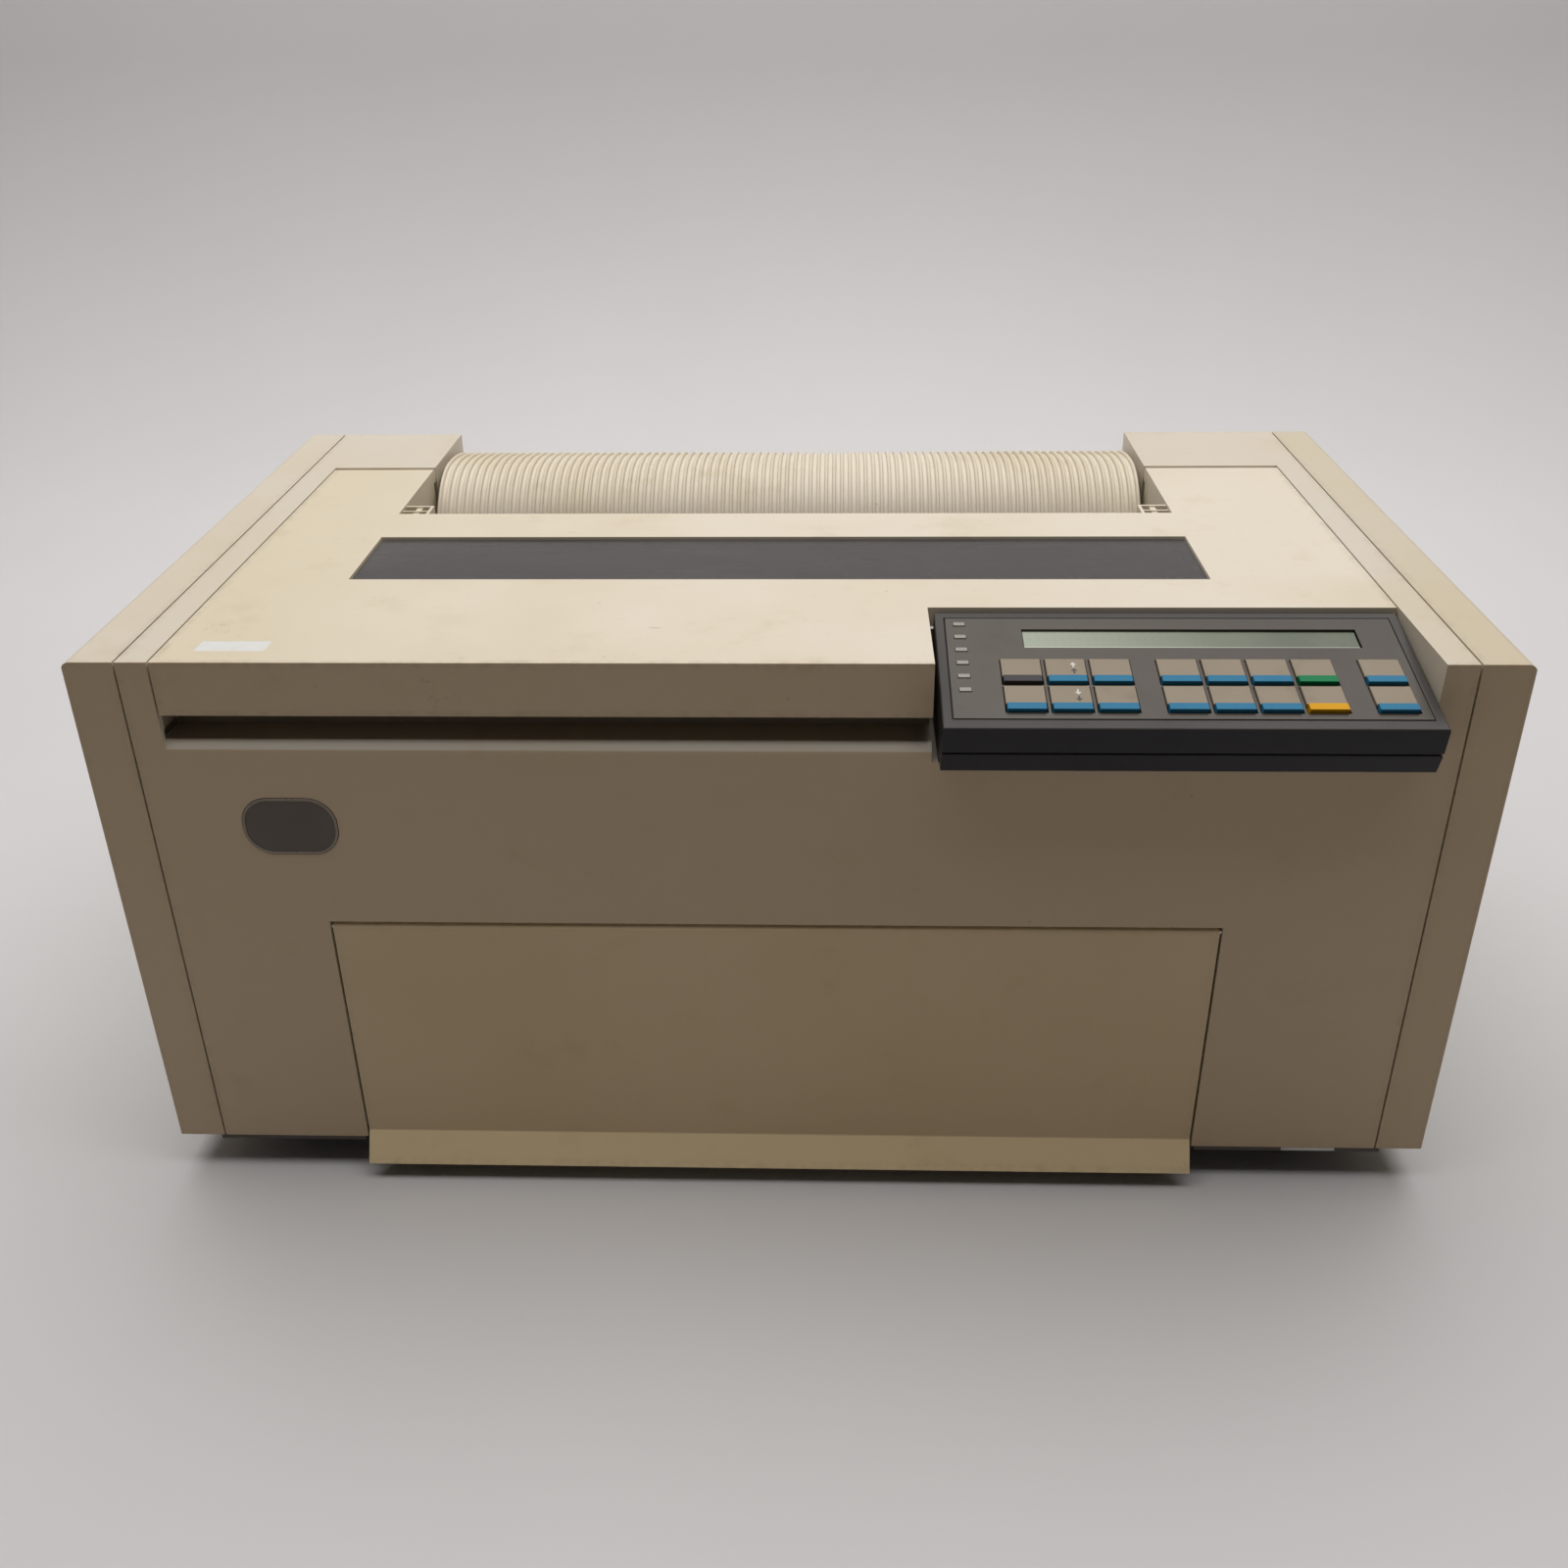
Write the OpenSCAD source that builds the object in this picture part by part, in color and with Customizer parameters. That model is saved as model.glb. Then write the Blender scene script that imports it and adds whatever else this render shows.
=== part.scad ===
// Wide-carriage dot matrix printer with a hinged hood, a front paper door and a tilted operator panel.
// Millimetres. X runs to the printer's right, Y from front to back, Z up.
// The origin is on the floor, in the middle of the machine's width and depth.

/* [Body] */
// Overall width across the side covers
body_w = 616; // [600:1:640]
// Depth of the covers, from the front face to the back
body_d = 349; // [345:1:365]
// Height of the covers
cover_h = 258.5; // [254:0.5:272]
// Height of the covers' bottom edge above the floor
ground_gap = 20; // [18:1:26]
// Wall thickness of the plastic covers
wall = 3; // [2.5:0.1:3.4]
// Width of each side cover
side_w = 22.8; // [20:0.2:26]
// Radius of the side covers' outer edges
side_round = 4; // [3:0.5:8]
// Rounding of a side cover's upright outer edges
side_corner = 1; // [0.5:0.1:2.5]
// Width of the fixed strip beside the hood
strip_w = 14.2; // [11:0.2:16]
// Width of the visible seams between covers
seam = 0.9; // [0.6:0.1:1.4]

/* [Paper path] */
// Width of the covers left of the paper path
left_block_w = 72.55; // [70:0.05:76]
// Width of the covers right of the paper path
right_block_w = 89.35; // [86:0.05:92]

/* [Hood] */
// Distance from the front face to the hood's hinged rear edge
hood_len = 277.6; // [274:0.2:280]
// Height of the hood's front flange
flange_h = 24.8; // [22:0.2:27]
// Distance from the front face to the slot where paper comes out
slot_d = 195; // [190:1:198]
// Distance from the front face to the window's front edge
window_d = 98; // [94:1:104]
// Depth of the window, front to back
window_len = 60; // [52:1:64]
// Thickness of the window pane
pane_t = 3; // [2:0.5:4]
// How far the pane lies below the hood's surface
pane_sink = 1.4; // [0.8:0.2:2]
// Outer radius of the hood's hinge barrel
barrel_r = 3.8; // [3.6:0.1:4.4]
// Radius of the hinge pins
pin_r = 1.2; // [1:0.1:1.3]
// Length of each hood hinge pin
hood_pin_l = 44; // [36:1:50]

/* [Finger scoop] */
// Depth of the hood's surface above the scoop's floor
scoop_drop = 37.5; // [34:0.5:40]
// How far the scoop goes in
scoop_deep = 20; // [16:1:23]
// Radius of the scoop's front lip
scoop_round = 6; // [4:0.5:8]

/* [Front door] */
// Height of the door opening above the covers' bottom edge
door_h = 128.5; // [122:0.5:134]
// Gap around the door
door_gap = 1.2; // [0.8:0.1:1.6]
// Height at which the door starts to flare, above the covers' bottom edge
lip_start = 4.8; // [3:0.2:8]
// How far the flared lip comes forward
lip_out = 8.5; // [6:0.5:11]
// How far the flared lip goes down
lip_drop = 15; // [12:0.5:16]
// Radius of the door's hinge barrel
door_barrel_r = 2.6; // [2.4:0.1:3]

/* [Operator panel] */
// Width of the operator panel
panel_w = 205.3; // [200:0.5:210]
// How far the panel stands out in front of the front face
panel_out = 20; // [15:0.5:24]
// How far the panel reaches back from the front face
panel_back = 61; // [58:0.5:64]
// Tilt of the panel's face
panel_tilt = 12.5; // [10:0.5:14]
// Height of the panel's front edge
panel_front_h = 23; // [21:0.5:26]
// Drop of the panel's rear edge below the hood's surface
panel_sink = 1.8; // [1:0.2:3]
// Shell thickness of the panel's cases
case_t = 2.4; // [2:0.1:3]
// Border between the panel's edge and its faceplate
plate_border = 4.4; // [3.5:0.1:5.5]
// Thickness of the faceplate
plate_t = 1; // [0.6:0.1:1.4]
// Centre distance of neighbouring keys
key_pitch = 19.05; // [18.6:0.05:19.4]
// Width of a key
key_w = 17; // [16:0.1:17.6]
// Depth of a key, front to back
key_d = 17; // [16:0.1:17.6]
// Gap between a key and its opening
key_gap = 0.35; // [0.25:0.05:0.5]
// Height of a key's label face above the faceplate
key_rise = 1; // [0.6:0.1:1.6]
// Height of a key's coloured bar above the faceplate
bar_rise = 3; // [2.4:0.1:3.6]
// Depth of a key's coloured bar
bar_d = 5; // [4:0.5:6.5]
// Travel of a key
key_travel = 1.6; // [1:0.1:2]
// Width of the display
lcd_w = 146; // [138:1:152]
// Depth of the display, front to back
lcd_d = 13.6; // [11:0.2:15]
// Width of an indicator light
led_w = 5.4; // [4:0.2:7]
// Centre distance of the indicator lights
led_pitch = 9.55; // [9:0.05:10.2]

/* [Rear paper guide] */
// Distance from the front face to the guide's highest line
crest_d = 294; // [292:0.5:298]
// Depth of that line below the hood's surface
crest_drop = 1.5; // [1:0.5:4]
// Radius of the guide's front curve
guide_r = 46; // [40:1:48]
// Radius of the guide's top curve
crown_r = 150; // [120:5:200]
// Radius of the guide's rear corner
corner_r = 14; // [10:1:18]
// Number of ribs
rib_count = 89; // [80:1:94]
// Height of the ribs
rib_h = 1.7; // [1:0.1:2.4]
// Share of the rib spacing that a rib fills
rib_share = 0.46; // [0.35:0.01:0.6]
// Gap between the guide and the walls beside it
guide_gap = 3.4; // [2.5:0.1:4.5]

/* [Badge] */
// Distance from the left side to the middle of the oval badge
badge_in = 85.7; // [80:0.1:92]
// Height of the badge's middle above the covers' bottom edge
badge_z = 179; // [172:0.5:186]
// Width of the oval badge
badge_w = 42.5; // [34:0.5:50]
// Height of the oval badge
badge_h = 28.5; // [22:0.5:34]
// Thickness of the oval badge
badge_t = 1.4; // [0.8:0.1:2]

/* [Print mechanism] */
// Distance from the platen's axis back to the paper slot
platen_back = 17; // [13:0.5:19]
// Depth of the platen's axis below the hood's surface
platen_drop = 82.5; // [80:0.5:86]
// Radius of the platen roller
platen_r = 20; // [18:0.5:20.5]
// Radius of the platen's shaft
shaft_r = 5; // [4:0.25:6]
// Radial clearance of shafts and rods in their holes
run_gap = 0.05; // [0.03:0.01:0.08]
// Thickness of the mechanism's steel side plates
plate_steel = 2.5; // [2:0.1:3]
// Radius of the front carriage rod
rod_r = 6; // [5:0.25:6.5]
// Radius of the rear carriage rod
rear_rod_r = 5; // [4:0.25:5.5]
// Width of the carriage
carriage_w = 66; // [56:1:72]
// Travel of the carriage to each side of the paper path's middle
carriage_travel = 155; // [140:1:158]
// Pitch radius of the belt pulleys
pulley_r = 8; // [7:0.25:9]
// Height of the carriage belt
belt_h = 6; // [5:0.5:7]

/* [Gear train] */
// Module of the gears
gear_m = 1.5; // [1.45:0.01:1.52]
// Teeth on the platen gear
platen_teeth = 40; // [40:1:41]
// Teeth on the idler gear
idler_teeth = 42; // [42:1:43]
// Teeth on the tractor gear
tractor_teeth = 38; // [38:1:39]
// Teeth on the motor pinion
pinion_teeth = 12; // [12:1:14]
// Width of the gears
gear_w = 8; // [6:0.5:10]

/* [Tractors] */
// Distance from the platen's axis to the tractor drive shaft
tractor_reach = 118; // [116.5:0.1:118.4]
// Tilt of the tractors
tractor_tilt = 35; // [32:1:38]
// Distance between a tractor's two shafts
tractor_len = 50; // [48:0.5:54]
// Width of a tractor
tractor_w = 26; // [24:0.5:29]
// Side of the square tractor drive shaft
square_side = 8; // [7:0.25:9]
// Radius of the tractor support rod
support_r = 4; // [3.5:0.25:5]
// Spacing of the tractor pins
pin_pitch = 12.7; // [12.2:0.1:13]

/* [Feet] */
// Radius of a rubber foot
foot_r = 13; // [10:0.5:16]
// Distance of the feet's centres from the base's edges
foot_inset = 34; // [28:1:44]

/* [Hidden] */
KEYS = [ // name, column in key pitches, row, colour of the bar
    ["key_menu", 0, 0, "#4c494c"], ["key_scroll_up", 1, 0, "#3f88ad"],
    ["key_enter", 2, 0, "#3f88ad"], ["key_hex_print", 3.5, 0, "#3f88ad"],
    ["key_line_feed", 4.5, 0, "#3f88ad"], ["key_form_feed", 5.5, 0, "#3f88ad"],
    ["key_start", 6.5, 0, "#2f9a5e"], ["key_cancel", 8, 0, "#3f88ad"],
    ["key_reference", 0, 1, "#3f88ad"], ["key_scroll_down", 1, 1, "#3f88ad"],
    ["key_return", 2, 1, "#3f88ad"], ["key_interface", 3.5, 1, "#3f88ad"],
    ["key_load", 4.5, 1, "#3f88ad"], ["key_top_of_form", 5.5, 1, "#3f88ad"],
    ["key_stop", 6.5, 1, "#e8ad2c"], ["key_test", 8, 1, "#3f88ad"]];
$fn = 64;

CREAM = "#ded3bd";
PALE = "#e6dcc8";
DARK = "#4d494b";
BLACK = "#242325";
STEEL = "#b9bcc0";
ZINC = "#c9c6b8";
BROWN = "#3a3330";

// Levels and places that follow from the sizes above.
front_y = -(body_d - panel_out) / 2;
z0 = ground_gap;
z1 = z0 + cover_h;
x_seam = body_w / 2 - side_w;
x_main = x_seam - seam / 2;
x_hood = x_seam - strip_w;
hood_x = x_hood - seam;
path_x0 = left_block_w - x_seam;
path_x1 = x_seam - right_block_w;
path_shift = (path_x0 + path_x1) / 2;
pan_t = 2.5;
pan_gap = 1.5;
pan_top = z0 - pan_gap;
fit = 0.3;
over = 1;

// Hood and its hinge.
hinge_d = hood_len - barrel_r;
hinge_z = z1 - barrel_r;
knuckle_r = barrel_r - 1.3;
knuckle_w = 16;
web_t = 1.8;
leg_skirt = 27;
skirt_t = 2.5;
hood_skirt = 12;
rebate = 5;

// Inner decks of the main cover, under the hood.
deck_z = z1 - 30;
deck_t = 3;
ledge_w = 8;
scoop_z = z1 - scoop_drop;

// Mechanism, measured back from the front face and up from the floor.
platen_d = slot_d - platen_back;
platen_z = z1 - platen_drop;
platen_over = 2;
frame_gap = 13.5;
frame_x0 = path_x0 - frame_gap;
frame_x1 = path_x1 + frame_gap + 1;
rod_down = 24;
panel_cut_d = panel_back + 1.6;
well_gap = 1.4;
head_room = 34;
well_d = panel_cut_d + well_gap;
rod_d = well_d + head_room;
rod_z = platen_z - rod_down;
rear_rod_d = platen_d - 44;
rear_rod_z = platen_z - 30;
frame_d = [rod_d - 62, platen_d + 66];
belt_t = 1.2;
belt_d = (rod_d + rear_rod_d) / 2;
belt_z = platen_z - 45.5;
drive_x = frame_x0 - 29.5;
idle_x = frame_x1 - 14;

// Gear centres as [distance back, height].
function polar(r, a) = [r * cos(a), r * sin(a)];
function pitch_r(teeth) = gear_m * teeth / 2;
function angle_of(v) = atan2(v[1], v[0]);
platen_at = [platen_d, platen_z];
tractor_dir = -133;
tractor_at = platen_at + polar(tractor_reach, tractor_dir);
pi_dist = pitch_r(platen_teeth) + pitch_r(idler_teeth);
it_dist = pitch_r(idler_teeth) + pitch_r(tractor_teeth);
idler_turn = acos((pi_dist * pi_dist + tractor_reach * tractor_reach - it_dist * it_dist)
    / (2 * pi_dist * tractor_reach));
idler_at = platen_at + polar(pi_dist, tractor_dir + idler_turn);
pinion_dir = -20;
pinion_at = idler_at + polar(pitch_r(idler_teeth) + pitch_r(pinion_teeth), pinion_dir);
gear_x = frame_x1 + plate_steel + 2.5;
stud_r = shaft_r - 1;

// Tractors.
tractor_u = [cos(tractor_tilt), sin(tractor_tilt)];
support_at = tractor_at - tractor_len * tractor_u;
tractor_inset = 11.1;
left_tractor_x = path_x0 + tractor_inset;
right_tractor_x = path_x1 - tractor_inset - tractor_w;

// Operator panel. Its face is drawn flat and then turned down about its rear edge.
panel_x1 = x_hood - 1.6;
panel_x0 = panel_x1 - panel_w;
panel_cut_x = panel_x0 - 2.8;
panel_top = z1 - panel_sink;
face_len = (panel_back + panel_out) / cos(panel_tilt);
edge_z = panel_top - face_len * sin(panel_tilt);
panel_bottom = edge_z - panel_front_h;
split_z = edge_z - panel_front_h * 0.55;
undercut = 6;
keys_x = 26.8;
keys_s = 36.2;
led_x = 8;
led_s = 8;
led_d = 2.8;
lcd_x = 38;
lcd_s = 13;
well_z = panel_bottom - 3.2;
board_top = -10.4;
key_sole = -plate_t - case_t - 1.2;
switch_top = key_sole - key_travel - 0.1;

// Helpers. Distances called d run back from the front face.
function arc(c, r, a0, a1, n = 10) = [for (i = [0:n]) c + polar(r, a0 + (a1 - a0) * i / n)];

module block(x, d, z) {
    translate([x[0], front_y + d[0], z[0]]) cube([x[1] - x[0], d[1] - d[0], z[1] - z[0]]);
}

// Extrudes an outline of [distance back, height] points along X.
module slab(x, points) {
    translate([x[0], front_y, 0]) rotate([90, 0, 90]) linear_extrude(x[1] - x[0]) polygon(points);
}

module rod(x, at, r) {
    translate([x[0], front_y + at[0], at[1]]) rotate([0, 90, 0]) cylinder(h = x[1] - x[0], r = r);
}

module post(x, d, z, r) {
    translate([x, front_y + d, z[0]]) cylinder(h = z[1] - z[0], r = r);
}

// A strip of even thickness under a line of points, as a closed outline.
function normal(a, b) = let (v = b - a) [v[1], -v[0]] / norm(v);
function strip(p, t) = concat(p, [for (i = [len(p) - 1:-1:0])
    let (n = i == 0 ? normal(p[0], p[1]) : i == len(p) - 1 ? normal(p[i - 1], p[i])
        : (normal(p[i - 1], p[i]) + normal(p[i], p[i + 1])) / 2)
    p[i] + t * n]);

module rounded_plate(w, h, t, r) {
    linear_extrude(t) union() {
        translate([r - w / 2, -h / 2]) square([w - 2 * r, h]);
        translate([-w / 2, r - h / 2]) square([w, h - 2 * r]);
        for (i = [-1, 1], j = [-1, 1]) translate([i * (w / 2 - r), j * (h / 2 - r)]) circle(r);
    }
}

// Draws in the panel's own frame: X along the panel, Y down its face, Z out of it.
module on_panel() {
    translate([panel_x0, front_y + panel_back, panel_top]) rotate([panel_tilt, 0, 0])
        mirror([0, 1, 0]) children();
}

// ---- Covers ----

module base_pan() color(BROWN) {
    flange_x = x_main - wall - 1;
    chute_d = 9.5;
    chute_run = support_at[0] - chute_d;
    chute = [[6, z0 - 10], [chute_d, z0 - 1], [13, z0 + 22], [chute_d + 0.223 * chute_run, z0 + 40],
        [chute_d + 0.457 * chute_run, z0 + 52]];
    difference() {
        union() {
            block([-x_seam - 3, x_seam + 3], [2, body_d - 2], [pan_top - pan_t, pan_top]);
            for (s = [-1, 1]) block([s * flange_x - 1, s * flange_x + 1], [24, body_d - 40], [pan_top - 1, z0 + 40]);
        }
        block([path_x0 - 2, path_x1 + 2], [0, 9.5], [0, z0]);
        for (i = [0:11]) block([path_x0 + 30 + i * 30, path_x0 + 48 + i * 30], [platen_d + 22, platen_d + 28], [0, z0]);
    }
    slab([path_x0 + 1.5, path_x1 - 1.5], strip(chute, 1.6));
    for (x = [path_x0 + 60:70:path_x1 - 30])
        slab([x - 1, x + 1], [[9.5, pan_top - 1], [16, pan_top - 1], [24, z0 + 38], [18, z0 + 34], [11.5, z0 + 12]]);
}

module feet() color(BLACK)
    for (s = [-1, 1], d = [foot_inset, body_d - foot_inset]) {
        post(s * (x_seam - foot_inset), d, [0, 4], foot_r - 1.5);
        post(s * (x_seam - foot_inset), d, [4, pan_top - pan_t], foot_r);
    }

// The scoop under the hood's flange: rounded lip, floor and back wall.
module scoop() {
    lip = arc([scoop_round, scoop_z - scoop_round], scoop_round, 180, 90);
    slab([-x_hood - over, panel_cut_x], concat(
        [[0, scoop_z - scoop_round - wall]], lip,
        [[scoop_deep, scoop_z], [scoop_deep, z1 - hood_skirt - fit], [scoop_deep + wall, z1 - hood_skirt - fit],
        [scoop_deep + wall, scoop_z - wall], [scoop_round + 1, scoop_z - wall], [wall, scoop_z - scoop_round - wall]]));
}

// Centre of each hood leg, where its hinge knuckle sits.
leg_mid = [(-x_hood + path_x0) / 2, (x_hood + path_x1) / 2];

// A knuckle for the hood's pin, on a web that stands on a shelf of the rear block.
module knuckle(x) {
    shelf = hinge_z - 12;
    rod([x - knuckle_w / 2, x + knuckle_w / 2], [hinge_d, hinge_z], knuckle_r);
    block([x - knuckle_w / 2, x + knuckle_w / 2], [hinge_d - web_t / 2, hinge_d + web_t / 2], [shelf, hinge_z - pin_r - 0.2]);
    block([x - knuckle_w / 2, x + knuckle_w / 2], [hinge_d - web_t / 2, hood_len + seam + over], [shelf - wall, shelf]);
}

module rear_block(x, inner) {
    d0 = hood_len + seam;
    block(x, [d0, body_d], [z1 - wall, z1]);
    block(x, [d0, d0 + wall], [deck_z - deck_t, z1]);
    block(inner, [d0, body_d], [z1 - 44, z1]);
    block(x, [body_d - wall, body_d], [z0, z1]);
}

module main_cover() color(CREAM) {
    door_z = z0 + door_h;
    tail = z1 - 42;
    vent_n = 15;
    difference() {
        union() {
            block([-x_main, panel_cut_x], [0, wall], [z0, scoop_z - scoop_round - wall + 0.01]);
            block([panel_cut_x - 0.01, x_main], [0, wall], [z0, well_z]);
            scoop();
            for (s = [-1, 1]) mirror([s < 0 ? 1 : 0, 0, 0]) {
                block([x_hood, x_main], [0, wall], [z0, z1]);
                block([x_hood, x_main], [0, body_d], [z1 - wall, z1]);
                block([x_hood, x_hood + skirt_t], [0, hood_len + 2], [deck_z - deck_t, z1]);
                block([x_main - wall, x_main], [0, body_d], [z0, z1]);
                block([x_hood - ledge_w, x_hood + over], [well_d + 12, hood_len - 14],
                    [z1 - hood_skirt - fit - wall, z1 - hood_skirt - fit]);
            }
            // decks beside and in front of the mechanism
            block([-x_hood - over, frame_x0 - 3], [scoop_deep, hood_len + seam + 1], [deck_z - deck_t, deck_z]);
            block([frame_x1 + plate_steel + 2, x_hood + over], [well_d, hood_len + seam + 1], [deck_z - deck_t, deck_z]);
            block([-x_hood - over, panel_cut_x], [scoop_deep, well_d], [deck_z - deck_t, deck_z]);
            for (x = [[-x_main, frame_x0 - 3], [frame_x1 + plate_steel + 2, x_main]])
                block(x, [hood_len + seam, hood_len + seam + wall], [deck_z - deck_t, z1]);
            // well that holds the operator panel
            block([panel_cut_x - wall, x_hood + over], [0, well_d + wall], [well_z - wall, well_z]);
            block([panel_cut_x - wall, panel_cut_x], [scoop_deep, well_d + wall], [well_z - wall, z1 - hood_skirt - fit]);
            block([panel_cut_x - wall, x_hood + over], [well_d, well_d + wall], [well_z - wall, z1 - hood_skirt - fit]);
            // blocks beside the rear paper guide, and the back wall between them
            rear_block([-x_main, path_x0], [path_x0 - wall, path_x0]);
            rear_block([path_x1, x_main], [path_x1, path_x1 + wall]);
            block([-x_main, x_main], [body_d - wall, body_d], [z0, tail]);
            for (x = leg_mid) knuckle(x);
            // bosses for the door's pins
            for (x = [[path_x0 - 9, path_x0], [path_x1, path_x1 + 9]])
                block(x, [0.5, 7], [door_z - door_gap - 2 * door_barrel_r - 3, door_z + 3]);
        }
        block([path_x0, path_x1], [-over, wall + over], [z0 - over, door_z]);
        for (x = leg_mid) rod([x - knuckle_w, x + knuckle_w], [hinge_d, hinge_z], pin_r + run_gap);
        rod([path_x0 - 7, path_x1 + 7], [door_barrel_r, door_z - door_gap - door_barrel_r], pin_r + run_gap);
        badge_seat();
        // cooling slots in the back wall
        for (i = [0:vent_n - 1]) block([-x_main + 90 + i * 12, -x_main + 94 + i * 12],
            [body_d - wall - over, body_d + over], [z1 - 130.5, z1 - 80.5]);
        // opening for the rear panel
        block([path_x0 + 12, path_x1 - 12], [body_d - wall - over, body_d + over], [z0 - over, z0 + 101]);
        screw_holes();
    }
}

module side_cover(s) color(CREAM) {
    x0 = x_seam + seam / 2;
    x1 = body_w / 2;
    r = side_round;
    c = side_corner;
    mirror([s < 0 ? 1 : 0, 0, 0]) difference() {
        intersection() {
            translate([0, front_y + body_d, 0]) rotate([90, 0, 0]) linear_extrude(body_d)
                polygon(concat([[x0, z0], [x1, z0]], arc([x1 - r, z1 - r], r, 0, 90), [[x0, z1]]));
            translate([0, front_y, z0 - over]) linear_extrude(cover_h + 2 * over)
                polygon(concat([[x0, 0]], arc([x1 - c, c], c, -90, 0), arc([x1 - c, body_d - c], c, 0, 90),
                    [[x0, body_d]]));
        }
        block([x0 - over, x1 - wall - 1], [wall, body_d - wall], [z0 + wall, z1 - wall]);
    }
    // ribs that hold the cover off the main cover's side wall
    for (d = [70, 175, 280]) block(s > 0 ? [x_main, x1 - wall] : [wall - x1, -x_main], [d, d + 3], [z0 + wall - 0.5, z1 - wall + 0.5]);
}

// ---- Hood ----

module hood_notch() block([path_x0, path_x1], [slot_d, body_d], [z0, z1 + over]);

// Small box ribs in the corners of the paper slot.
module corner_ribs(x, s) {
    w = 15;
    l = 17;
    z = [z1 - 8, z1 - 1.2];
    a = s > 0 ? [x, x + w] : [x - w, x];
    block(a, [slot_d + l - 1.6, slot_d + l], z);
    block(a, [slot_d + 7.5, slot_d + 8.7], z);
    block(s > 0 ? [x + w - 1.6, x + w] : [x - w, x - w + 1.6], [slot_d - 1, slot_d + l], z);
    block([(a[0] + a[1]) / 2 - 1.5, (a[0] + a[1]) / 2 + 1.5], [slot_d - 1, slot_d + l], [z1 - 8, z1 - 2]);
}

module hood() color(PALE) {
    top = [z1 - wall, z1];
    window_x = [path_x0 + 0.5, path_x1 - 0.5];
    difference() {
        union() {
            difference() {
                union() {
                    block([-hood_x, hood_x], [0, hinge_d], top);
                    block([-hood_x, hood_x], [0, wall], [z1 - flange_h, z1]);
                    for (s = [-1, 1]) mirror([s < 0 ? 1 : 0, 0, 0])
                        block([hood_x - skirt_t, hood_x], [0, hood_len - 24], [z1 - hood_skirt, z1]);
                    // frame that carries the window pane
                    block([window_x[0] - rebate, window_x[1] + rebate], [window_d - rebate, window_d + window_len + rebate],
                        [z1 - pane_sink - pane_t - 2, z1]);
                }
                block(window_x, [window_d, window_d + window_len], [z1 - pane_sink - pane_t, z1 + over]);
                block([window_x[0] + rebate, window_x[1] - rebate], [window_d + rebate, window_d + window_len - rebate], [z0, z1]);
                hood_notch();
            }
            // walls along the paper slot, down each leg
            block([path_x0 - skirt_t, path_x0], [slot_d, hood_len - 6], [z1 - leg_skirt, z1]);
            block([path_x1, path_x1 + skirt_t], [slot_d, hood_len - 6], [z1 - leg_skirt, z1]);
            block([path_x0 - skirt_t, path_x1 + skirt_t], [slot_d - skirt_t, slot_d], [z1 - 9, z1]);
            corner_ribs(path_x0, 1);
            corner_ribs(path_x1, -1);
            // walls along the operator panel's cut-out
            block([panel_cut_x - skirt_t, panel_cut_x], [0, scoop_deep - 1], [z1 - flange_h, z1]);
            block([panel_cut_x - skirt_t, panel_cut_x], [0, panel_cut_d], [z1 - hood_skirt, z1]);
            block([panel_cut_x - skirt_t, hood_x], [panel_cut_d, panel_cut_d + skirt_t], [z1 - hood_skirt + 3, z1]);
            for (x = [[-hood_x, path_x0], [path_x1, hood_x]]) rod(x, [hinge_d, hinge_z], barrel_r);
        }
        block([panel_cut_x, hood_x + over], [-over, panel_cut_d], [z0, z1 + over]);
        for (x = leg_mid) {
            rod([x - knuckle_w / 2 - fit, x + knuckle_w / 2 + fit], [hinge_d, hinge_z], knuckle_r + fit);
            knuckle_sweep(x);
            rod([x - hood_pin_l / 2 - 0.2, x + hood_pin_l / 2 + 0.2], [hinge_d, hinge_z], pin_r + run_gap);
        }
    }
}

// The space that the fixed web needs as the hood's barrel turns round it.
module knuckle_sweep(x) {
    r = barrel_r + 3;
    a = [232, 262, 289, 316, 343, 386];
    slab([x - knuckle_w / 2 - fit, x + knuckle_w / 2 + fit],
        concat([[hinge_d, hinge_z]], [for (i = a) [hinge_d, hinge_z] + polar(r, i)]));
}

module hood_window() color(DARK)
    block([path_x0 + 0.5 + fit, path_x1 - 0.5 - fit], [window_d + fit, window_d + window_len - fit],
        [z1 - pane_sink - pane_t, z1 - pane_sink]);

module hinge_pins() color(STEEL) {
    door_axis = [door_barrel_r, z0 + door_h - door_gap - door_barrel_r];
    for (x = leg_mid) rod([x - hood_pin_l / 2, x + hood_pin_l / 2], [hinge_d, hinge_z], pin_r);
    rod([path_x0 - 6.5, path_x0 + 8], door_axis, pin_r);
    rod([path_x1 - 8, path_x1 + 6.5], door_axis, pin_r);
}

module front_door() color(CREAM) {
    x = [path_x0 + door_gap, path_x1 - door_gap];
    top = z0 + door_h - door_gap;
    axis = [door_barrel_r, top - door_barrel_r];
    flare = z0 + lip_start;
    lean = atan2(lip_out, lip_drop);
    difference() {
        union() {
            slab(x, [[0, axis[1]], [0, flare], [-lip_out, flare - lip_drop],
                [wall / cos(lean) - lip_out, flare - lip_drop], [wall, flare - wall * tan(lean) + 1], [wall, axis[1]]]);
            rod(x, axis, door_barrel_r);
            for (i = [x[0] + 3, x[1] - 5]) block([i, i + 2], [wall - 0.5, 8], [z0 + 20, top - 16]);
            block([x[0] + 3, x[1] - 3], [wall - 0.5, 7], [z0 + 60, z0 + 62]);
        }
        for (i = [[x[0] - over, x[0] + 8], [x[1] - 8, x[1] + over]]) rod(i, axis, pin_r + run_gap);
    }
}

// ---- Rear paper guide ----

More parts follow.
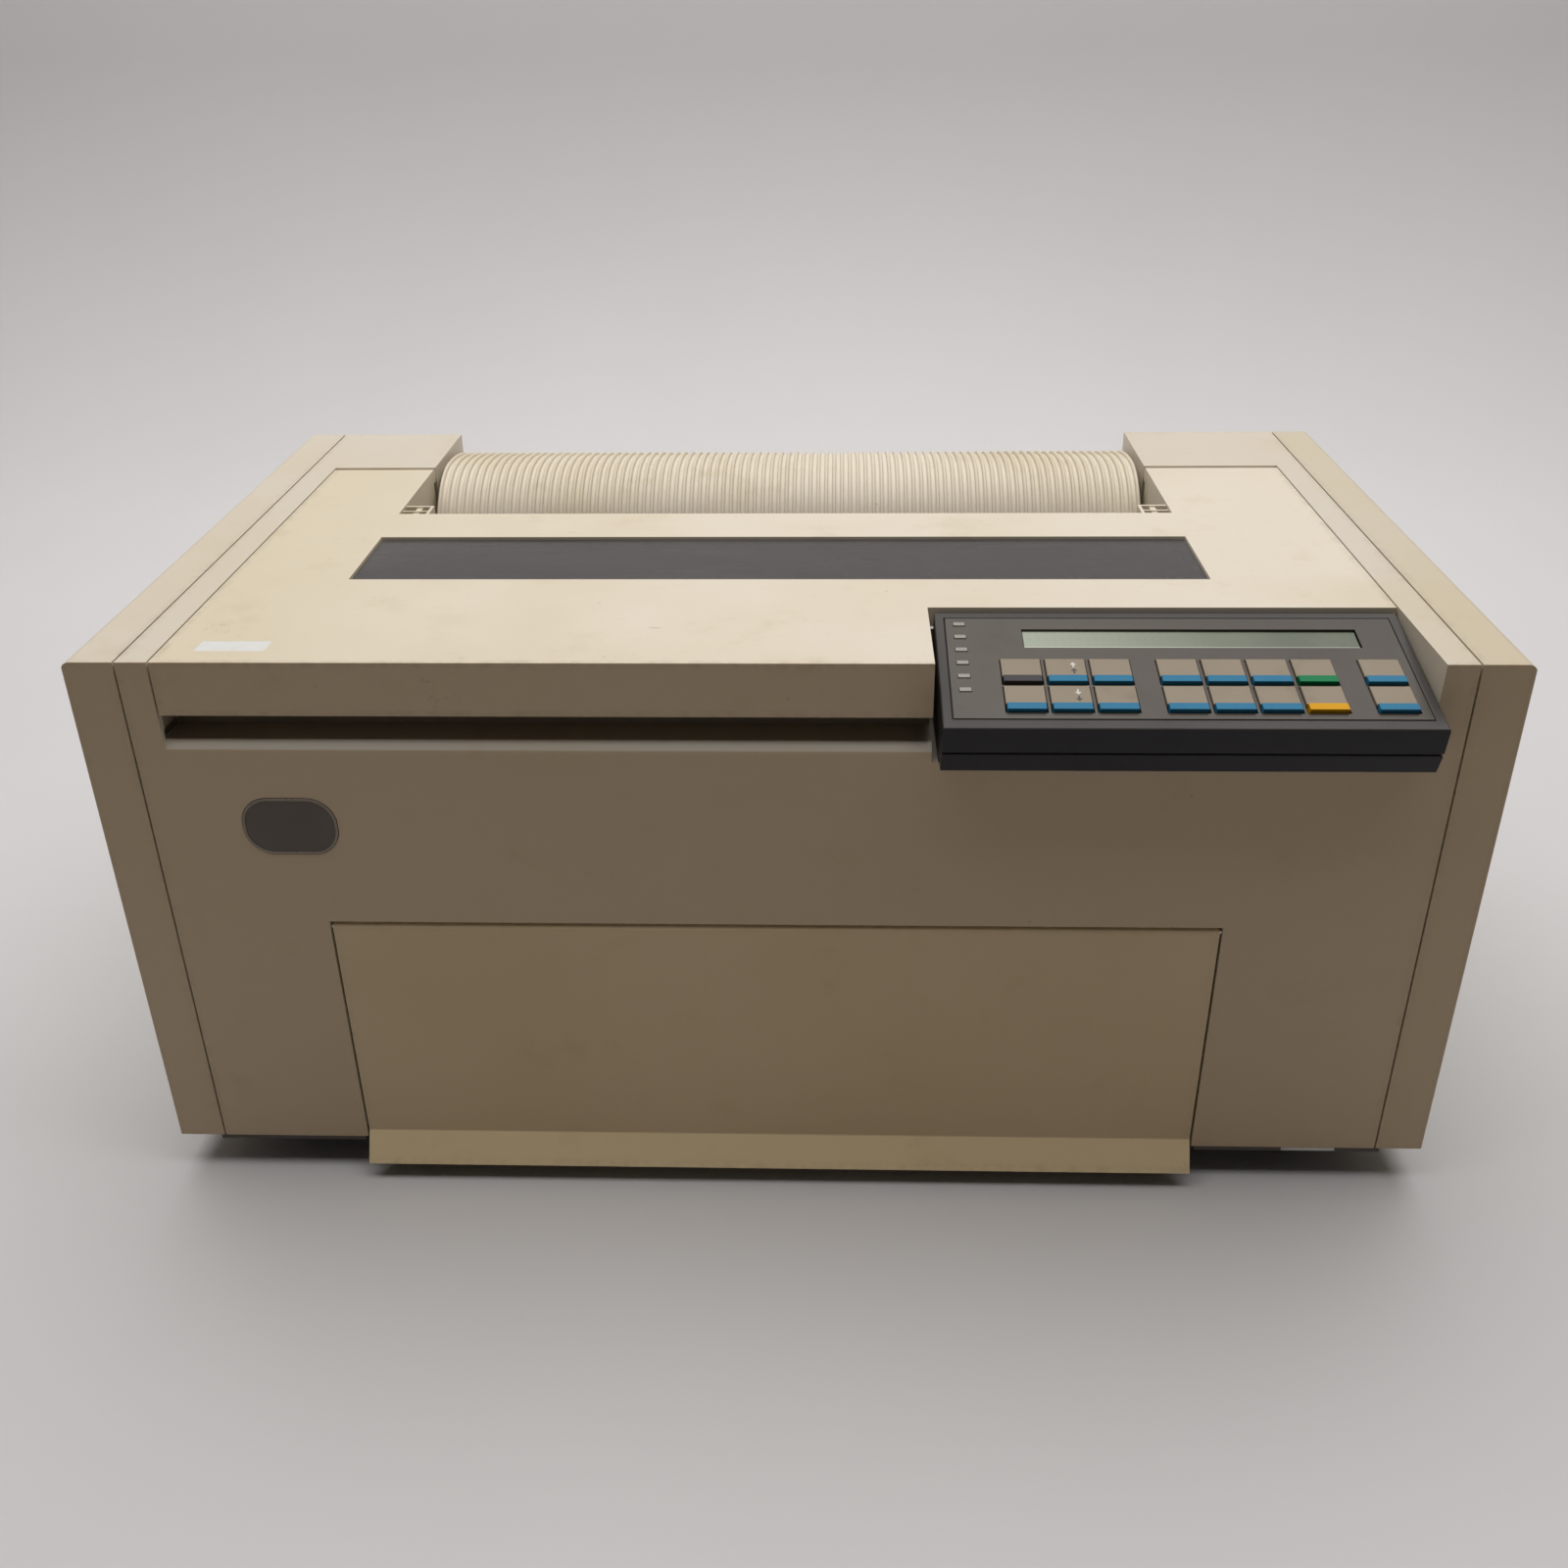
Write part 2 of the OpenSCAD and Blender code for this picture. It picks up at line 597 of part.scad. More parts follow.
guide_x0 = path_x0 + guide_gap;
guide_x1 = path_x1 - guide_gap;
crest_z = z1 - crest_drop;
crown_end = 74;
shell_t = 2;
guide_base = z1 - 58;
crest = [crest_d, crest_z];
front_c = crest - [0, guide_r];
crown_c = crest - [0, crown_r];
tail_c = crown_c + polar(crown_r - corner_r, crown_end);

// The filled side outline of the guide, drawn in by an inset, down to a height.
module guide_under(inset, base) {
    tail_x = tail_c[0] + (corner_r - inset) * cos(crown_end);
    tail_z = tail_c[1] + (corner_r - inset) * sin(crown_end);
    x0 = front_c[0] - guide_r + inset;
    x1 = tail_c[0] + corner_r - inset;
    translate([x0, base]) square([crest_d - x0, front_c[1] - base]);
    intersection() {
        translate(front_c) circle(guide_r - inset);
        translate([x0 - 1, front_c[1]]) square([crest_d - x0 + 1, guide_r + 5]);
    }
    translate([crest_d, base]) square([x1 - crest_d, tail_c[1] - base]);
    intersection() {
        translate(crown_c) circle(crown_r - inset);
        translate([crest_d, tail_c[1]]) square([tail_x - crest_d, crown_r]);
    }
    intersection() {
        translate(tail_c) circle(corner_r - inset);
        translate([tail_x, tail_c[1]]) square([corner_r + 5, tail_z - tail_c[1]]);
    }
}

module guide_slab(x) translate([x[0], front_y, 0]) rotate([90, 0, 90]) linear_extrude(x[1] - x[0]) children();

module rear_paper_guide() color(PALE) {
    pitch = (guide_x1 - guide_x0) / (rib_count - 1 + rib_share);
    difference() {
        guide_slab([guide_x0, guide_x1]) difference() {
            guide_under(0, guide_base);
            guide_under(rib_h + shell_t, guide_base - 1);
        }
        // grooves between the ribs
        for (i = [0:rib_count - 2]) guide_slab([guide_x0 + (i + rib_share) * pitch, guide_x0 + (i + 1) * pitch]) difference() {
            guide_under(-2, guide_base - 1);
            guide_under(rib_h, guide_base - 2);
        }
    }
    // end cheeks, and the tabs that fix them to the walls of the rear blocks
    for (x = [guide_x0, guide_x1 - 2]) guide_slab([x, x + 2]) guide_under(rib_h + shell_t / 2, guide_base + 2);
    for (x = [[path_x0, guide_x0 + 1], [guide_x1 - 1, path_x1]], d = [crest_d - 4, crest_d + 26])
        block(x, [d, d + 12], [z1 - 42, z1 - 38]);
}

module badge_at() translate([(badge_in - body_w / 2), front_y, z0 + badge_z]) rotate([90, 0, 0]) children();
module badge() color("#5b5046") badge_at() translate([0, 0, -1])
    difference() {
        rounded_plate(badge_w, badge_h, badge_t, badge_h / 2 - 1.5);
        translate([0, 0, badge_t - 0.4]) rounded_plate(badge_w - 2.4, badge_h - 2.4, 1, badge_h / 2 - 2.7);
    }
module badge_seat() badge_at() translate([0, 0, -1]) rounded_plate(badge_w + 0.5, badge_h + 0.5, 2, badge_h / 2 - 1.25);

// ---- Operator panel ----

// Side outline of the panel between two heights, drawn in [distance back, height] points.
panel_outline = [[panel_back, panel_top], [-panel_out, edge_z], [undercut * 0.35 - panel_out, split_z],
    [undercut - panel_out, panel_bottom], [-0.6, panel_bottom], [-0.6, well_z], [panel_back, well_z]];

module face_cut(x, s, w, l, deep) on_panel() translate([x, s, -deep]) cube([w, l, deep + 5]);

module key_openings(deep, gap) {
    for (k = KEYS) face_cut(keys_x + k[1] * key_pitch - gap, keys_s + k[2] * key_pitch - gap, key_w + 2 * gap, key_d + 2 * gap, deep);
}

module panel_upper_case() color(DARK) difference() {
    slab([panel_x0, panel_x1], panel_outline);
    block([panel_x0 - over, panel_x1 + over], [-panel_out - over, panel_back + over], [z0, split_z]);
    // hollow inside
    slab([panel_x0 + case_t, panel_x1 - case_t], [[panel_back - case_t, panel_top - case_t - 1.6 - plate_t],
        [case_t + 1.5 - panel_out, edge_z - case_t - plate_t], [case_t + 3.5 - panel_out, split_z - over], [panel_back - case_t, split_z - over]]);
    // seat for the faceplate
    face_cut(plate_border, plate_border, panel_w - 2 * plate_border, face_len - plate_border - 6.2, plate_t);
    key_openings(12, key_gap);
    face_cut(lcd_x - 0.2, lcd_s - 0.2, lcd_w + 0.4, lcd_d + 0.4, 12);
    for (i = [0:5]) face_cut(led_x, led_s + i * led_pitch, led_w, led_d, 12);
}

module panel_lower_case() color(BLACK) difference() {
    slab([panel_x0, panel_x1], panel_outline);
    block([panel_x0 - over, panel_x1 + over], [-panel_out - over, panel_back + over], [split_z - 0.5, z1 + over]);
    slab([panel_x0 + case_t, panel_x1 - case_t], [[panel_back - case_t, split_z], [case_t + 3 - panel_out, split_z],
        [undercut + case_t + 1 - panel_out, panel_bottom + case_t], [panel_back - case_t, panel_bottom + case_t]]);
}

module panel_faceplate() color("#6b655f") difference() {
    on_panel() translate([plate_border + fit, plate_border + fit, -plate_t])
        cube([panel_w - 2 * plate_border - 2 * fit, face_len - plate_border - 6.2 - 2 * fit, plate_t]);
    key_openings(12, key_gap);
    face_cut(lcd_x, lcd_s, lcd_w, lcd_d, 12);
    for (i = [0:5]) face_cut(led_x, led_s + i * led_pitch, led_w, led_d, 12);
}

module display() color("#8d977c") on_panel() {
    translate([lcd_x + fit, lcd_s + fit, -plate_t - 1.6]) cube([lcd_w - 2 * fit, lcd_d - 2 * fit, plate_t + 0.6]);
    translate([lcd_x - 3, lcd_s - 2, board_top]) cube([lcd_w + 6, lcd_d + 4, -plate_t - 1.5 - board_top - case_t]);
    translate([lcd_x + 1, lcd_s + 1, board_top + 1]) cube([lcd_w - 2, lcd_d - 2, -plate_t - 1.4 - board_top - 1]);
}

// The circuit board under the keys, with a switch under each key and the indicator lamps.
module control_board() color("#2e6b45") on_panel() {
    translate([5, 6, board_top - 1.6]) cube([panel_w - 10, face_len - 17, 1.6]);
    for (k = KEYS) translate([keys_x + k[1] * key_pitch + 2.5, keys_s + k[2] * key_pitch + 2.5, board_top - 0.1])
        cube([key_w - 5, key_d - 5, switch_top - board_top + 0.1]);
    for (i = [0:5]) translate([led_x + 0.15, led_s + 0.15 + i * led_pitch, board_top - 0.1])
        cube([led_w - 0.3, led_d - 0.3, 0.35 - board_top]);
}

module key(k) {
    x = keys_x + k[1] * key_pitch;
    s = keys_s + k[2] * key_pitch;
    skirt = plate_t + case_t;
    on_panel() translate([x, s, 0]) {
        color("#a79d8e") translate([0, 0, -skirt]) cube([key_w, key_d - bar_d, skirt + key_rise]);
        color(k[3]) translate([0, key_d, -skirt]) rotate([90, 0, 0]) linear_extrude(bar_d)
            polygon([[0, 0], [key_w, 0], [key_w, skirt + key_rise], [key_w - 0.6, skirt + bar_rise],
                [0.6, skirt + bar_rise], [0, skirt + key_rise]]);
        color(k[3]) translate([2, 2, key_sole]) cube([key_w - 4, key_d - 4, 1.4]);
    }
}

// ---- Print mechanism ----

module plate_outline(x) slab([x, x + plate_steel], [[frame_d[0], pan_top], [frame_d[1], pan_top], [frame_d[1], platen_z - 60],
    [platen_d + 44, platen_z + 26], [platen_d - 34, platen_z + 26], [rod_d - 20, rod_z + 22],
    [rod_d - 20, rod_z - 40], [frame_d[0], rod_z - 66]]);

module print_frame() color(ZINC) {
    pan = [[platen_d - 70, tractor_at[1] + 17], [platen_d - 46, tractor_at[1] + 22], [platen_d - 33, platen_z - 46],
        [platen_d - 26, platen_z - 26], [platen_d - 23.5, platen_z - 12]];
    sole_d = [frame_d[0] + 24, frame_d[1] - 14];
    difference() {
        union() {
            plate_outline(frame_x0 - plate_steel);
            plate_outline(frame_x1);
            // feet that screw down on the base
            block([frame_x0 - plate_steel - 12, frame_x0 - plate_steel + 0.1], sole_d, [pan_top, pan_top + plate_steel]);
            block([frame_x1 + plate_steel - 0.1, frame_x1 + plate_steel + 12], sole_d, [pan_top, pan_top + plate_steel]);
            // curved plate that leads the paper to the platen, and the stay behind it
            slab([frame_x0 - 0.5, frame_x1 + 0.5], strip(pan, 1.5));
            block([frame_x0 - 0.5, frame_x1 + 0.5], [platen_d + 34, platen_d + 58], [platen_z - 42, platen_z - 40]);
            block([frame_x0 - 0.5, frame_x1 + 0.5], [platen_d + 34, platen_d + 36], [platen_z - 54, platen_z - 40]);
            // shelf that carries the carriage motor, and the one for the idler pulley
            block([drive_x - 24, frame_x0], [belt_d - 24, belt_d + 24], [belt_z - 4.5, belt_z - 2.5]);
            block([idle_x - 8, frame_x1 + 0.5], [belt_d - 10, belt_d + 10], [belt_z - 4, belt_z - 2]);
            // shelves that carry the ribbon cartridge
            block([frame_x0 - 0.5, frame_x0 + 6], [well_d + 6, well_d + 18], [platen_z - 9, platen_z - 7]);
            block([frame_x1 - 6, frame_x1 + 0.5], [well_d + 8, well_d + 18], [platen_z - 9, platen_z - 7]);
        }
        both = [frame_x0 - 20, frame_x1 + 20];
        rod(both, platen_at, shaft_r + run_gap);
        rod(both, [rod_d, rod_z], rod_r + run_gap);
        rod(both, [rear_rod_d, rear_rod_z], rear_rod_r + run_gap);
        rod(both, support_at, support_r + run_gap);
        rod(both, tractor_at, square_side / 2 + run_gap);
        rod([frame_x1 - 5, frame_x1 + 20], idler_at, stud_r + run_gap);
        rod([frame_x1 - 4, frame_x1], idler_at, stud_r + 4);
        rod([frame_x1 - 5, frame_x1 + 20], pinion_at, 9);
        rod(both, bail_pivot, 3 + run_gap);
        // slot for the belt, and holes for the motor's boss and the idler's stud
        block([frame_x0 - 6, frame_x0 + 3], [belt_d - pulley_r - 5, belt_d + pulley_r + 5], [belt_z - 2.4, belt_z + belt_h + 3]);
        post(drive_x, belt_d, [belt_z - 8, belt_z], 6.2);
        post(idle_x, belt_d, [belt_z - 8, belt_z], 2.5);
        for (d = [rod_d - 8, platen_d + 27]) rod(both, [d, z0 + 30], 9);
    }
}

bail_pivot = [platen_d - 36, platen_z - 10];
bail_at = platen_at + polar(platen_r + 6.4, 115);

module guide_rods() color(STEEL) {
    x = [frame_x0 - plate_steel - 3, frame_x1 + plate_steel];
    rod([x[0], x[1] + 1.5], [rod_d, rod_z], rod_r);
    rod([x[0], x[1] + 1.5], [rear_rod_d, rear_rod_z], rear_rod_r);
    rod([x[0], x[1] + 1.5], support_at, support_r);
}

carriage_x = [path_shift - carriage_w / 2, path_shift + carriage_w / 2];
belt_run = belt_d - pulley_r - belt_t / 2;
carriage_top = rod_z + rod_r + 5;

module carriage() color(BLACK) difference() {
    union() {
        block(carriage_x, [rod_d - 11, rear_rod_d + 12], [rod_z - 9, carriage_top]);
        rod(carriage_x, [rod_d, rod_z], rod_r + 5);
        rod(carriage_x, [rear_rod_d, rear_rod_z], rear_rod_r + 4.5);
        // grip that holds the belt's front run
        block([path_shift - 12, path_shift + 12], [belt_run - 4, belt_run + 4], [belt_z - 2, rod_z]);
    }
    rod([carriage_x[0] - over, carriage_x[1] + over], [rod_d, rod_z], rod_r + run_gap);
    rod([carriage_x[0] - over, carriage_x[1] + over], [rear_rod_d, rear_rod_z], rear_rod_r + run_gap);
    block([path_shift - 13, path_shift + 13], [belt_run - belt_t / 2 - fit, belt_run + belt_t / 2 + fit], [belt_z - 3, belt_z + belt_h + fit]);
    for (x = [-18, 18]) post(path_shift + x, rod_d + 18, [rod_z - 3, carriage_top + over], 1.6);
}

module print_head() color(DARK) {
    nose_d = platen_d - platen_r - 2.2;
    z = carriage_top + 0.05;
    fin_pitch = 3.6;
    fin_t = 1.6;
    x = path_shift;
    difference() {
        union() {
            block([x - 24, x + 24], [rod_d - 4, rod_d + 34], [z, z + 3]);
            block([x - 15, x + 15], [rod_d, nose_d - 22], [z + 2.9, z + 27]);
            for (d = [rod_d:fin_pitch:nose_d - 27]) block([x - 21, x + 21], [d, d + fin_t], [z + 4.5, z + 29]);
            slab([x - 8, x + 8], [[nose_d - 24, z + 4], [nose_d - 8, platen_z - 7], [nose_d, platen_z - 5],
                [nose_d, platen_z + 5], [nose_d - 8, platen_z + 7], [nose_d - 24, z + 24]]);
        }
        for (i = [-18, 18]) post(x + i, rod_d + 18, [z - over, z + 4], 1.6);
    }
}

// A closed belt round the two pulleys.
module carriage_belt() color(BLACK) difference() {
    belt_loop(pulley_r + belt_t, 0);
    belt_loop(pulley_r + 0.05, over);
}
module belt_loop(r, extra) {
    block([drive_x, idle_x], [belt_d - r, belt_d + r], [belt_z - extra, belt_z + belt_h + extra]);
    for (x = [drive_x, idle_x]) post(x, belt_d, [belt_z - extra, belt_z + belt_h + extra], r);
}

module pulley(x, bore) difference() {
    union() {
        post(x, belt_d, [belt_z - 0.5, belt_z + belt_h + 0.5], pulley_r);
        for (z = [belt_z - 1.5, belt_z + belt_h + 0.4]) post(x, belt_d, [z, z + 1.1], pulley_r + 2);
    }
    post(x, belt_d, [belt_z - 5, belt_z + belt_h + 5], bore + run_gap);
}
module drive_pulley() color(STEEL) pulley(drive_x, 2.5);
module idler_pulley() color(STEEL) {
    difference() {
        pulley(idle_x, 2);
        post(idle_x, belt_d, [belt_z - 5, belt_z + belt_h + 5], 2.4);
    }
    post(idle_x, belt_d, [belt_z - 6, belt_z + belt_h + 2], 2.4);
}

module carriage_motor() color("#2f2f31") {
    top = belt_z - 4.5;
    post(drive_x, belt_d, [top - 40, top - 0.05], 21);
    post(drive_x, belt_d, [top - 0.1, belt_z - 2.6], 6);
    post(drive_x, belt_d, [belt_z - 2.7, belt_z + belt_h + 3], 2.5);
}

module platen() color(BLACK) {
    x = [path_x0 + platen_over, path_x1 - platen_over];
    rod(x, platen_at, platen_r);
    rod([frame_x0 - plate_steel - 6, gear_x + gear_w + 2], platen_at, shaft_r);
}

// A spur gear about an axis along X, with one tooth's middle at the angle phase.
module gear(at, teeth, phase, bore, hub) {
    r = pitch_r(teeth);
    tip = r + 0.85 * gear_m;
    root = r - 1.15 * gear_m;
    q = 90 / teeth;
    difference() {
        union() {
            slab([gear_x, gear_x + gear_w], [for (i = [0:teeth - 1], p = [[root, -1.2], [tip, -0.42], [tip, 0.42], [root, 1.2]])
                at + polar(p[0], phase + i * 360 / teeth + p[1] * q)]);
            if (hub > 0) rod([gear_x - 1.5, gear_x + gear_w + 1.5], at, hub);
        }
        if (bore > 0) rod([gear_x - 3, gear_x + gear_w + 3], at, bore);
        if (r > 20) for (i = [0:4]) rod([gear_x - 3, gear_x + gear_w + 3], at + polar(r * 0.58, i * 72), r * 0.17);
    }
}

// Phase that puts gear b in mesh with gear a, whose phase is known.
function mesh_phase(a, na, pa, b, nb) = let (dir = angle_of(b - a))
    dir + 180 - (360 / nb) * (0.5 - (dir - pa) / (360 / na));
idler_phase = 0;
platen_phase = mesh_phase(idler_at, idler_teeth, idler_phase, platen_at, platen_teeth);
tractor_phase = mesh_phase(idler_at, idler_teeth, idler_phase, tractor_at, tractor_teeth);
pinion_phase = mesh_phase(idler_at, idler_teeth, idler_phase, pinion_at, pinion_teeth);

module platen_gear() color("#d8d4c6") gear(platen_at, platen_teeth, platen_phase, shaft_r + 0.02, 9);
module idler_gear() color("#d8d4c6") {
    gear(idler_at, idler_teeth, idler_phase, 0, 8);
    rod([frame_x1 - 3, gear_x + 1], idler_at, stud_r);
    rod([frame_x1 - 3, frame_x1 - 0.3], idler_at, stud_r + 3.5);
}
module feed_pinion() color("#c9b487") gear(pinion_at, pinion_teeth, pinion_phase, 3 + run_gap, 0);

module feed_motor() color("#2f2f31") {
    difference() {
        rod([frame_x1 - 46, frame_x1 - 0.1], pinion_at, 27);
        rod([frame_x1 - 47, frame_x1 - 44], pinion_at, 20);
    }
    rod([frame_x1 - 0.2, frame_x1 + plate_steel + 0.5], pinion_at, 8.6);
    rod([frame_x1, gear_x + gear_w + 1.5], pinion_at, 3);
}

module tractor_shaft() color(STEEL) {
    h = square_side / 2;
    translate([frame_x0 + 1, front_y + tractor_at[0], tractor_at[1]]) rotate([tractor_tilt, 0, 0])
        translate([0, -h * 0.7, -h * 0.7]) cube([frame_x1 - frame_x0 - 2, h * 1.4, h * 1.4]);
    rod([frame_x0 - plate_steel - 3, frame_x0 + 1.01], tractor_at, h);
    rod([frame_x1 - 1.01, gear_x + gear_w + 2], tractor_at, h);
    color("#d8d4c6") gear(tractor_at, tractor_teeth, tractor_phase, 0, 8);
}

// Draws in a tractor's frame: Y up along the tractor from its support rod, Z out of its face.
module on_tractor(x) translate([x, front_y + support_at[0], support_at[1]]) rotate([tractor_tilt, 0, 0]) children();

face_h = 11;
module tractor(x, outer) color(DARK) on_tractor(x) difference() {
    union() {
        translate([0, -12, -10]) cube([tractor_w, tractor_len + 24, 10 + face_h - 2]);
        translate([outer < 0 ? 4 : tractor_w - 14, -10, 0]) cube([10, tractor_len + 20, face_h]);
        for (i = [0:4]) translate([outer < 0 ? 9 : tractor_w - 9, -1 + i * pin_pitch, face_h - 0.5]) cylinder(h = 2.6, r = 1.9, $fn = 24);
        translate([outer < 0 ? -3 : tractor_w - 1, tractor_len / 2 - 6, -14]) cube([4, 12, 8]);
        // ears of the lid's hinge
        for (y = [-11, tractor_len + 2]) translate([outer < 0 ? 0 : tractor_w - 3, y, 6]) cube([3, 5, face_h - 1]);
    }
    translate([-over, 0, 0]) rotate([0, 90, 0]) cylinder(h = tractor_w + 2, r = support_r + run_gap);
    translate([-5, tractor_len, 0]) rotate([0, 90, 0]) cylinder(h = tractor_w + 10, r = square_side / 2 + 0.1);
    translate([outer < 0 ? 1.5 : tractor_w - 1.5, -14, face_h + 2]) rotate([-90, 0, 0]) cylinder(h = tractor_len + 24, r = 0.9);
    translate([5, 8, -11]) cube([tractor_w - 10, tractor_len - 16, 8]);
}

module tractor_lid(x, outer) color("#3c3a3b") on_tractor(x) difference() {
    lid = [-5.6, tractor_len + 1.6];
    union() {
        translate([outer < 0 ? 1.5 : 0, lid[0], face_h + 2.4]) cube([tractor_w - 1.5, lid[1] - lid[0], 2.2]);
        translate([outer < 0 ? 1.5 : tractor_w - 1.5, lid[0], face_h + 2]) rotate([-90, 0, 0]) cylinder(h = lid[1] - lid[0], r = 1.5);
        translate([outer < 0 ? 1.5 : tractor_w - 1.5, lid[0] - 3.5, face_h + 2]) rotate([-90, 0, 0]) cylinder(h = lid[1] - lid[0] + 7, r = 0.85);
        translate([outer < 0 ? tractor_w - 2 : -2, 16, face_h + 2.4]) cube([4, 14, 2.2]);
    }
    translate([outer < 0 ? 6.3 : tractor_w - 11.7, -4, face_h]) cube([5.4, tractor_len + 4, 10]);
}

module paper_bail() color(STEEL) {
    arm = [frame_x0 + 0.6, frame_x1 - 2.6];
    for (x = arm) {
        difference() {
            union() {
                slab([x, x + 2], [bail_pivot + [-4, 0], bail_pivot + [4, -1], bail_at + [4, 2], bail_at + [-4, 2]]);
                rod([x, x + 2], bail_pivot, 6);
                rod([x, x + 2], bail_at, 5);
            }
            rod([x - 1, x + 3], bail_at, 2.5);
        }
    }
    rod([arm[0] - 0.6 - plate_steel, arm[0] + 0.01], bail_pivot, 3);
    rod([arm[1] + 1.99, arm[1] + 2.6 + plate_steel], bail_pivot, 3);
    rod([arm[0], arm[1] + 2], bail_at, 2.5);
    for (i = [-2:2]) color(BLACK) difference() {
        rod([path_shift + i * 76 - 8, path_shift + i * 76 + 8], bail_at, 6);
        rod([path_shift + i * 76 - 9, path_shift + i * 76 + 9], bail_at, 2.5);
    }
}

module thickness_lever() color("#3f88ad") {
    x = [frame_x1 - 4.5, frame_x1 - 1.5];
    top = [rod_d - 6, platen_z + 34];
    difference() {
        union() {
            rod(x, [rod_d, rod_z], rod_r + 6);
            slab(x, [[rod_d - 6, rod_z], [rod_d + 6, rod_z], top + [4, 0], top + [-4, 0]]);
            block([x[0] - 6, x[1]], [top[0] - 5, top[0] + 5], [top[1] - 2, top[1] + 7]);
        }
        rod([x[0] - over, x[1] + over], [rod_d, rod_z], rod_r + run_gap);
    }
}

// ---- Ribbon ----

cart_x = [frame_x0 + 4.5, frame_x1 - 12];
cart_z = [platen_z - 7, platen_z + 23];
cart_d = [well_d + 5, rod_d - 13];
module ribbon_cartridge() color(BLACK) {
    ribbon_d = platen_d - platen_r - 1.5;
    difference() {
        union() {
            block(cart_x, cart_d, cart_z);
            for (x = [[cart_x[0], cart_x[0] + 9], [cart_x[1] - 9, cart_x[1]]])
                slab(x, [[cart_d[1] - 1, cart_z[0]], [ribbon_d - 4, platen_z - 6.9], [ribbon_d, platen_z - 6.9],
                    [ribbon_d, platen_z + 7], [ribbon_d - 8, platen_z + 9], [cart_d[1] - 1, cart_z[1]]]);
        }
        block([cart_x[0] + 20, cart_x[0] + 38], [cart_d[0] + 0.5, cart_d[1] - 0.5], [cart_z[1] - 2, cart_z[1] + over]);
        post(knob_x, knob_d, [cart_z[1] - 8, cart_z[1] + over], 2 + run_gap);
    }
    block([cart_x[0] + 1, cart_x[1] - 1], [ribbon_d - 0.1, ribbon_d + 0.3], [platen_z - 6.5, platen_z + 6.5]);
}
knob_x = cart_x[0] + 58;
knob_d = (cart_d[0] + cart_d[1]) / 2;
module ribbon_knob() color("#3f88ad") {
    difference() {
        post(knob_x, knob_d, [cart_z[1] + 0.2, cart_z[1] + 7], 8.5);
        for (i = [0:11]) translate([knob_x, front_y + knob_d, cart_z[1]]) rotate([0, 0, i * 30]) translate([9, 0, -1]) cylinder(h = 10, r = 1.2, $fn = 16);
    }
    post(knob_x, knob_d, [cart_z[1] - 7, cart_z[1] + 0.3], 2);
}

// ---- Electrics ----

psu_x = [path_x1 - 190, path_x1 - 16];
psu_d = [frame_d[1] + 6, body_d - 8];
psu_z = [pan_top + 2, pan_top + 82];
fan_at = [path_x1 - 62, pan_top + 42];
fan_r = 36;
fan_pin = 3;
board_x = [path_x0 + 16, psu_x[0] - 8];
board_d = [frame_d[1] + 6, body_d - 12];

module psu_hollow() {
    difference() {
        union() {
            block([psu_x[0] + 1.5, psu_x[1] - 1.5], [psu_d[0] + 1.5, psu_d[1] - 1.5], [psu_z[0] + 1.5, psu_z[1] - 1.5]);
            translate([fan_at[0], front_y + psu_d[1] + over, fan_at[1]]) rotate([90, 0, 0]) cylinder(h = 4, r = fan_r + 2);
        }
        // bar that carries the fan, and the ears that carry the power switch
        block([fan_at[0] - fan_r - 3, fan_at[0] + fan_r + 3], [psu_d[1] - 3.4, psu_d[1] - 1.4], [fan_at[1] - 5, fan_at[1] + 5]);
        for (x = [switch_x - 9.5, switch_x + 7]) block([x, x + 2.5], [psu_d[1] - 7, psu_d[1] - 1], [switch_z - 5, switch_z + 5]);
    }
}

module power_supply() color(ZINC) difference() {
    union() {
        block(psu_x, psu_d, psu_z);
        for (x = [psu_x[0] + 6, psu_x[1] - 18]) block([x, x + 12], [psu_d[0] + 10, psu_d[1] - 10], [pan_top, psu_z[0] + 0.1]);
    }
    psu_hollow();
    for (i = [0:9]) block([psu_x[0] + 14 + i * 15, psu_x[0] + 20 + i * 15], [psu_d[0] - over, psu_d[0] + 3], [psu_z[0] + 14, psu_z[1] - 14]);
    block([switch_x - 7, switch_x + 7], [psu_d[1] - 3, psu_d[1] + over], [switch_z - 12, switch_z + 12]);
    rod([switch_x - 12, switch_x + 12], rocker_at, rocker_pin + run_gap);
    translate([fan_at[0], front_y + psu_d[1], fan_at[1]]) rotate([90, 0, 0]) cylinder(h = 5, r = fan_pin + run_gap);
}

module fan_rotor() color(BLACK) translate([fan_at[0], front_y + psu_d[1] - 20, fan_at[1]]) rotate([-90, 0, 0]) {
    cylinder(h = 16, r = 14);
    for (i = [0:6]) rotate([0, 0, i * 360 / 7]) translate([12, -1, 1]) rotate([35, 0, 0]) cube([fan_r - 13, 1.6, 14]);
    translate([0, 0, -14]) cylinder(h = 32.5, r = fan_pin);
}

module logic_board() color("#2e6b45") {
    z = pan_top + 8;
    block(board_x, board_d, [z, z + 1.6]);
    for (x = [board_x[0] + 6, board_x[1] - 6], d = [board_d[0] + 6, board_d[1] - 6]) post(x, d, [pan_top, z + 0.01], 3);
    for (x = [board_x[0] + 20:38:board_x[1] - 46]) color(BLACK)
        block([x, x + 28], [board_d[0] + 20, board_d[0] + 34], [z + 1.55, z + 5]);
    color(BLACK) block([board_x[0] + 40, board_x[0] + 72], [board_d[1] - 45, board_d[1] - 13], [z + 1.55, z + 4.6]);
}

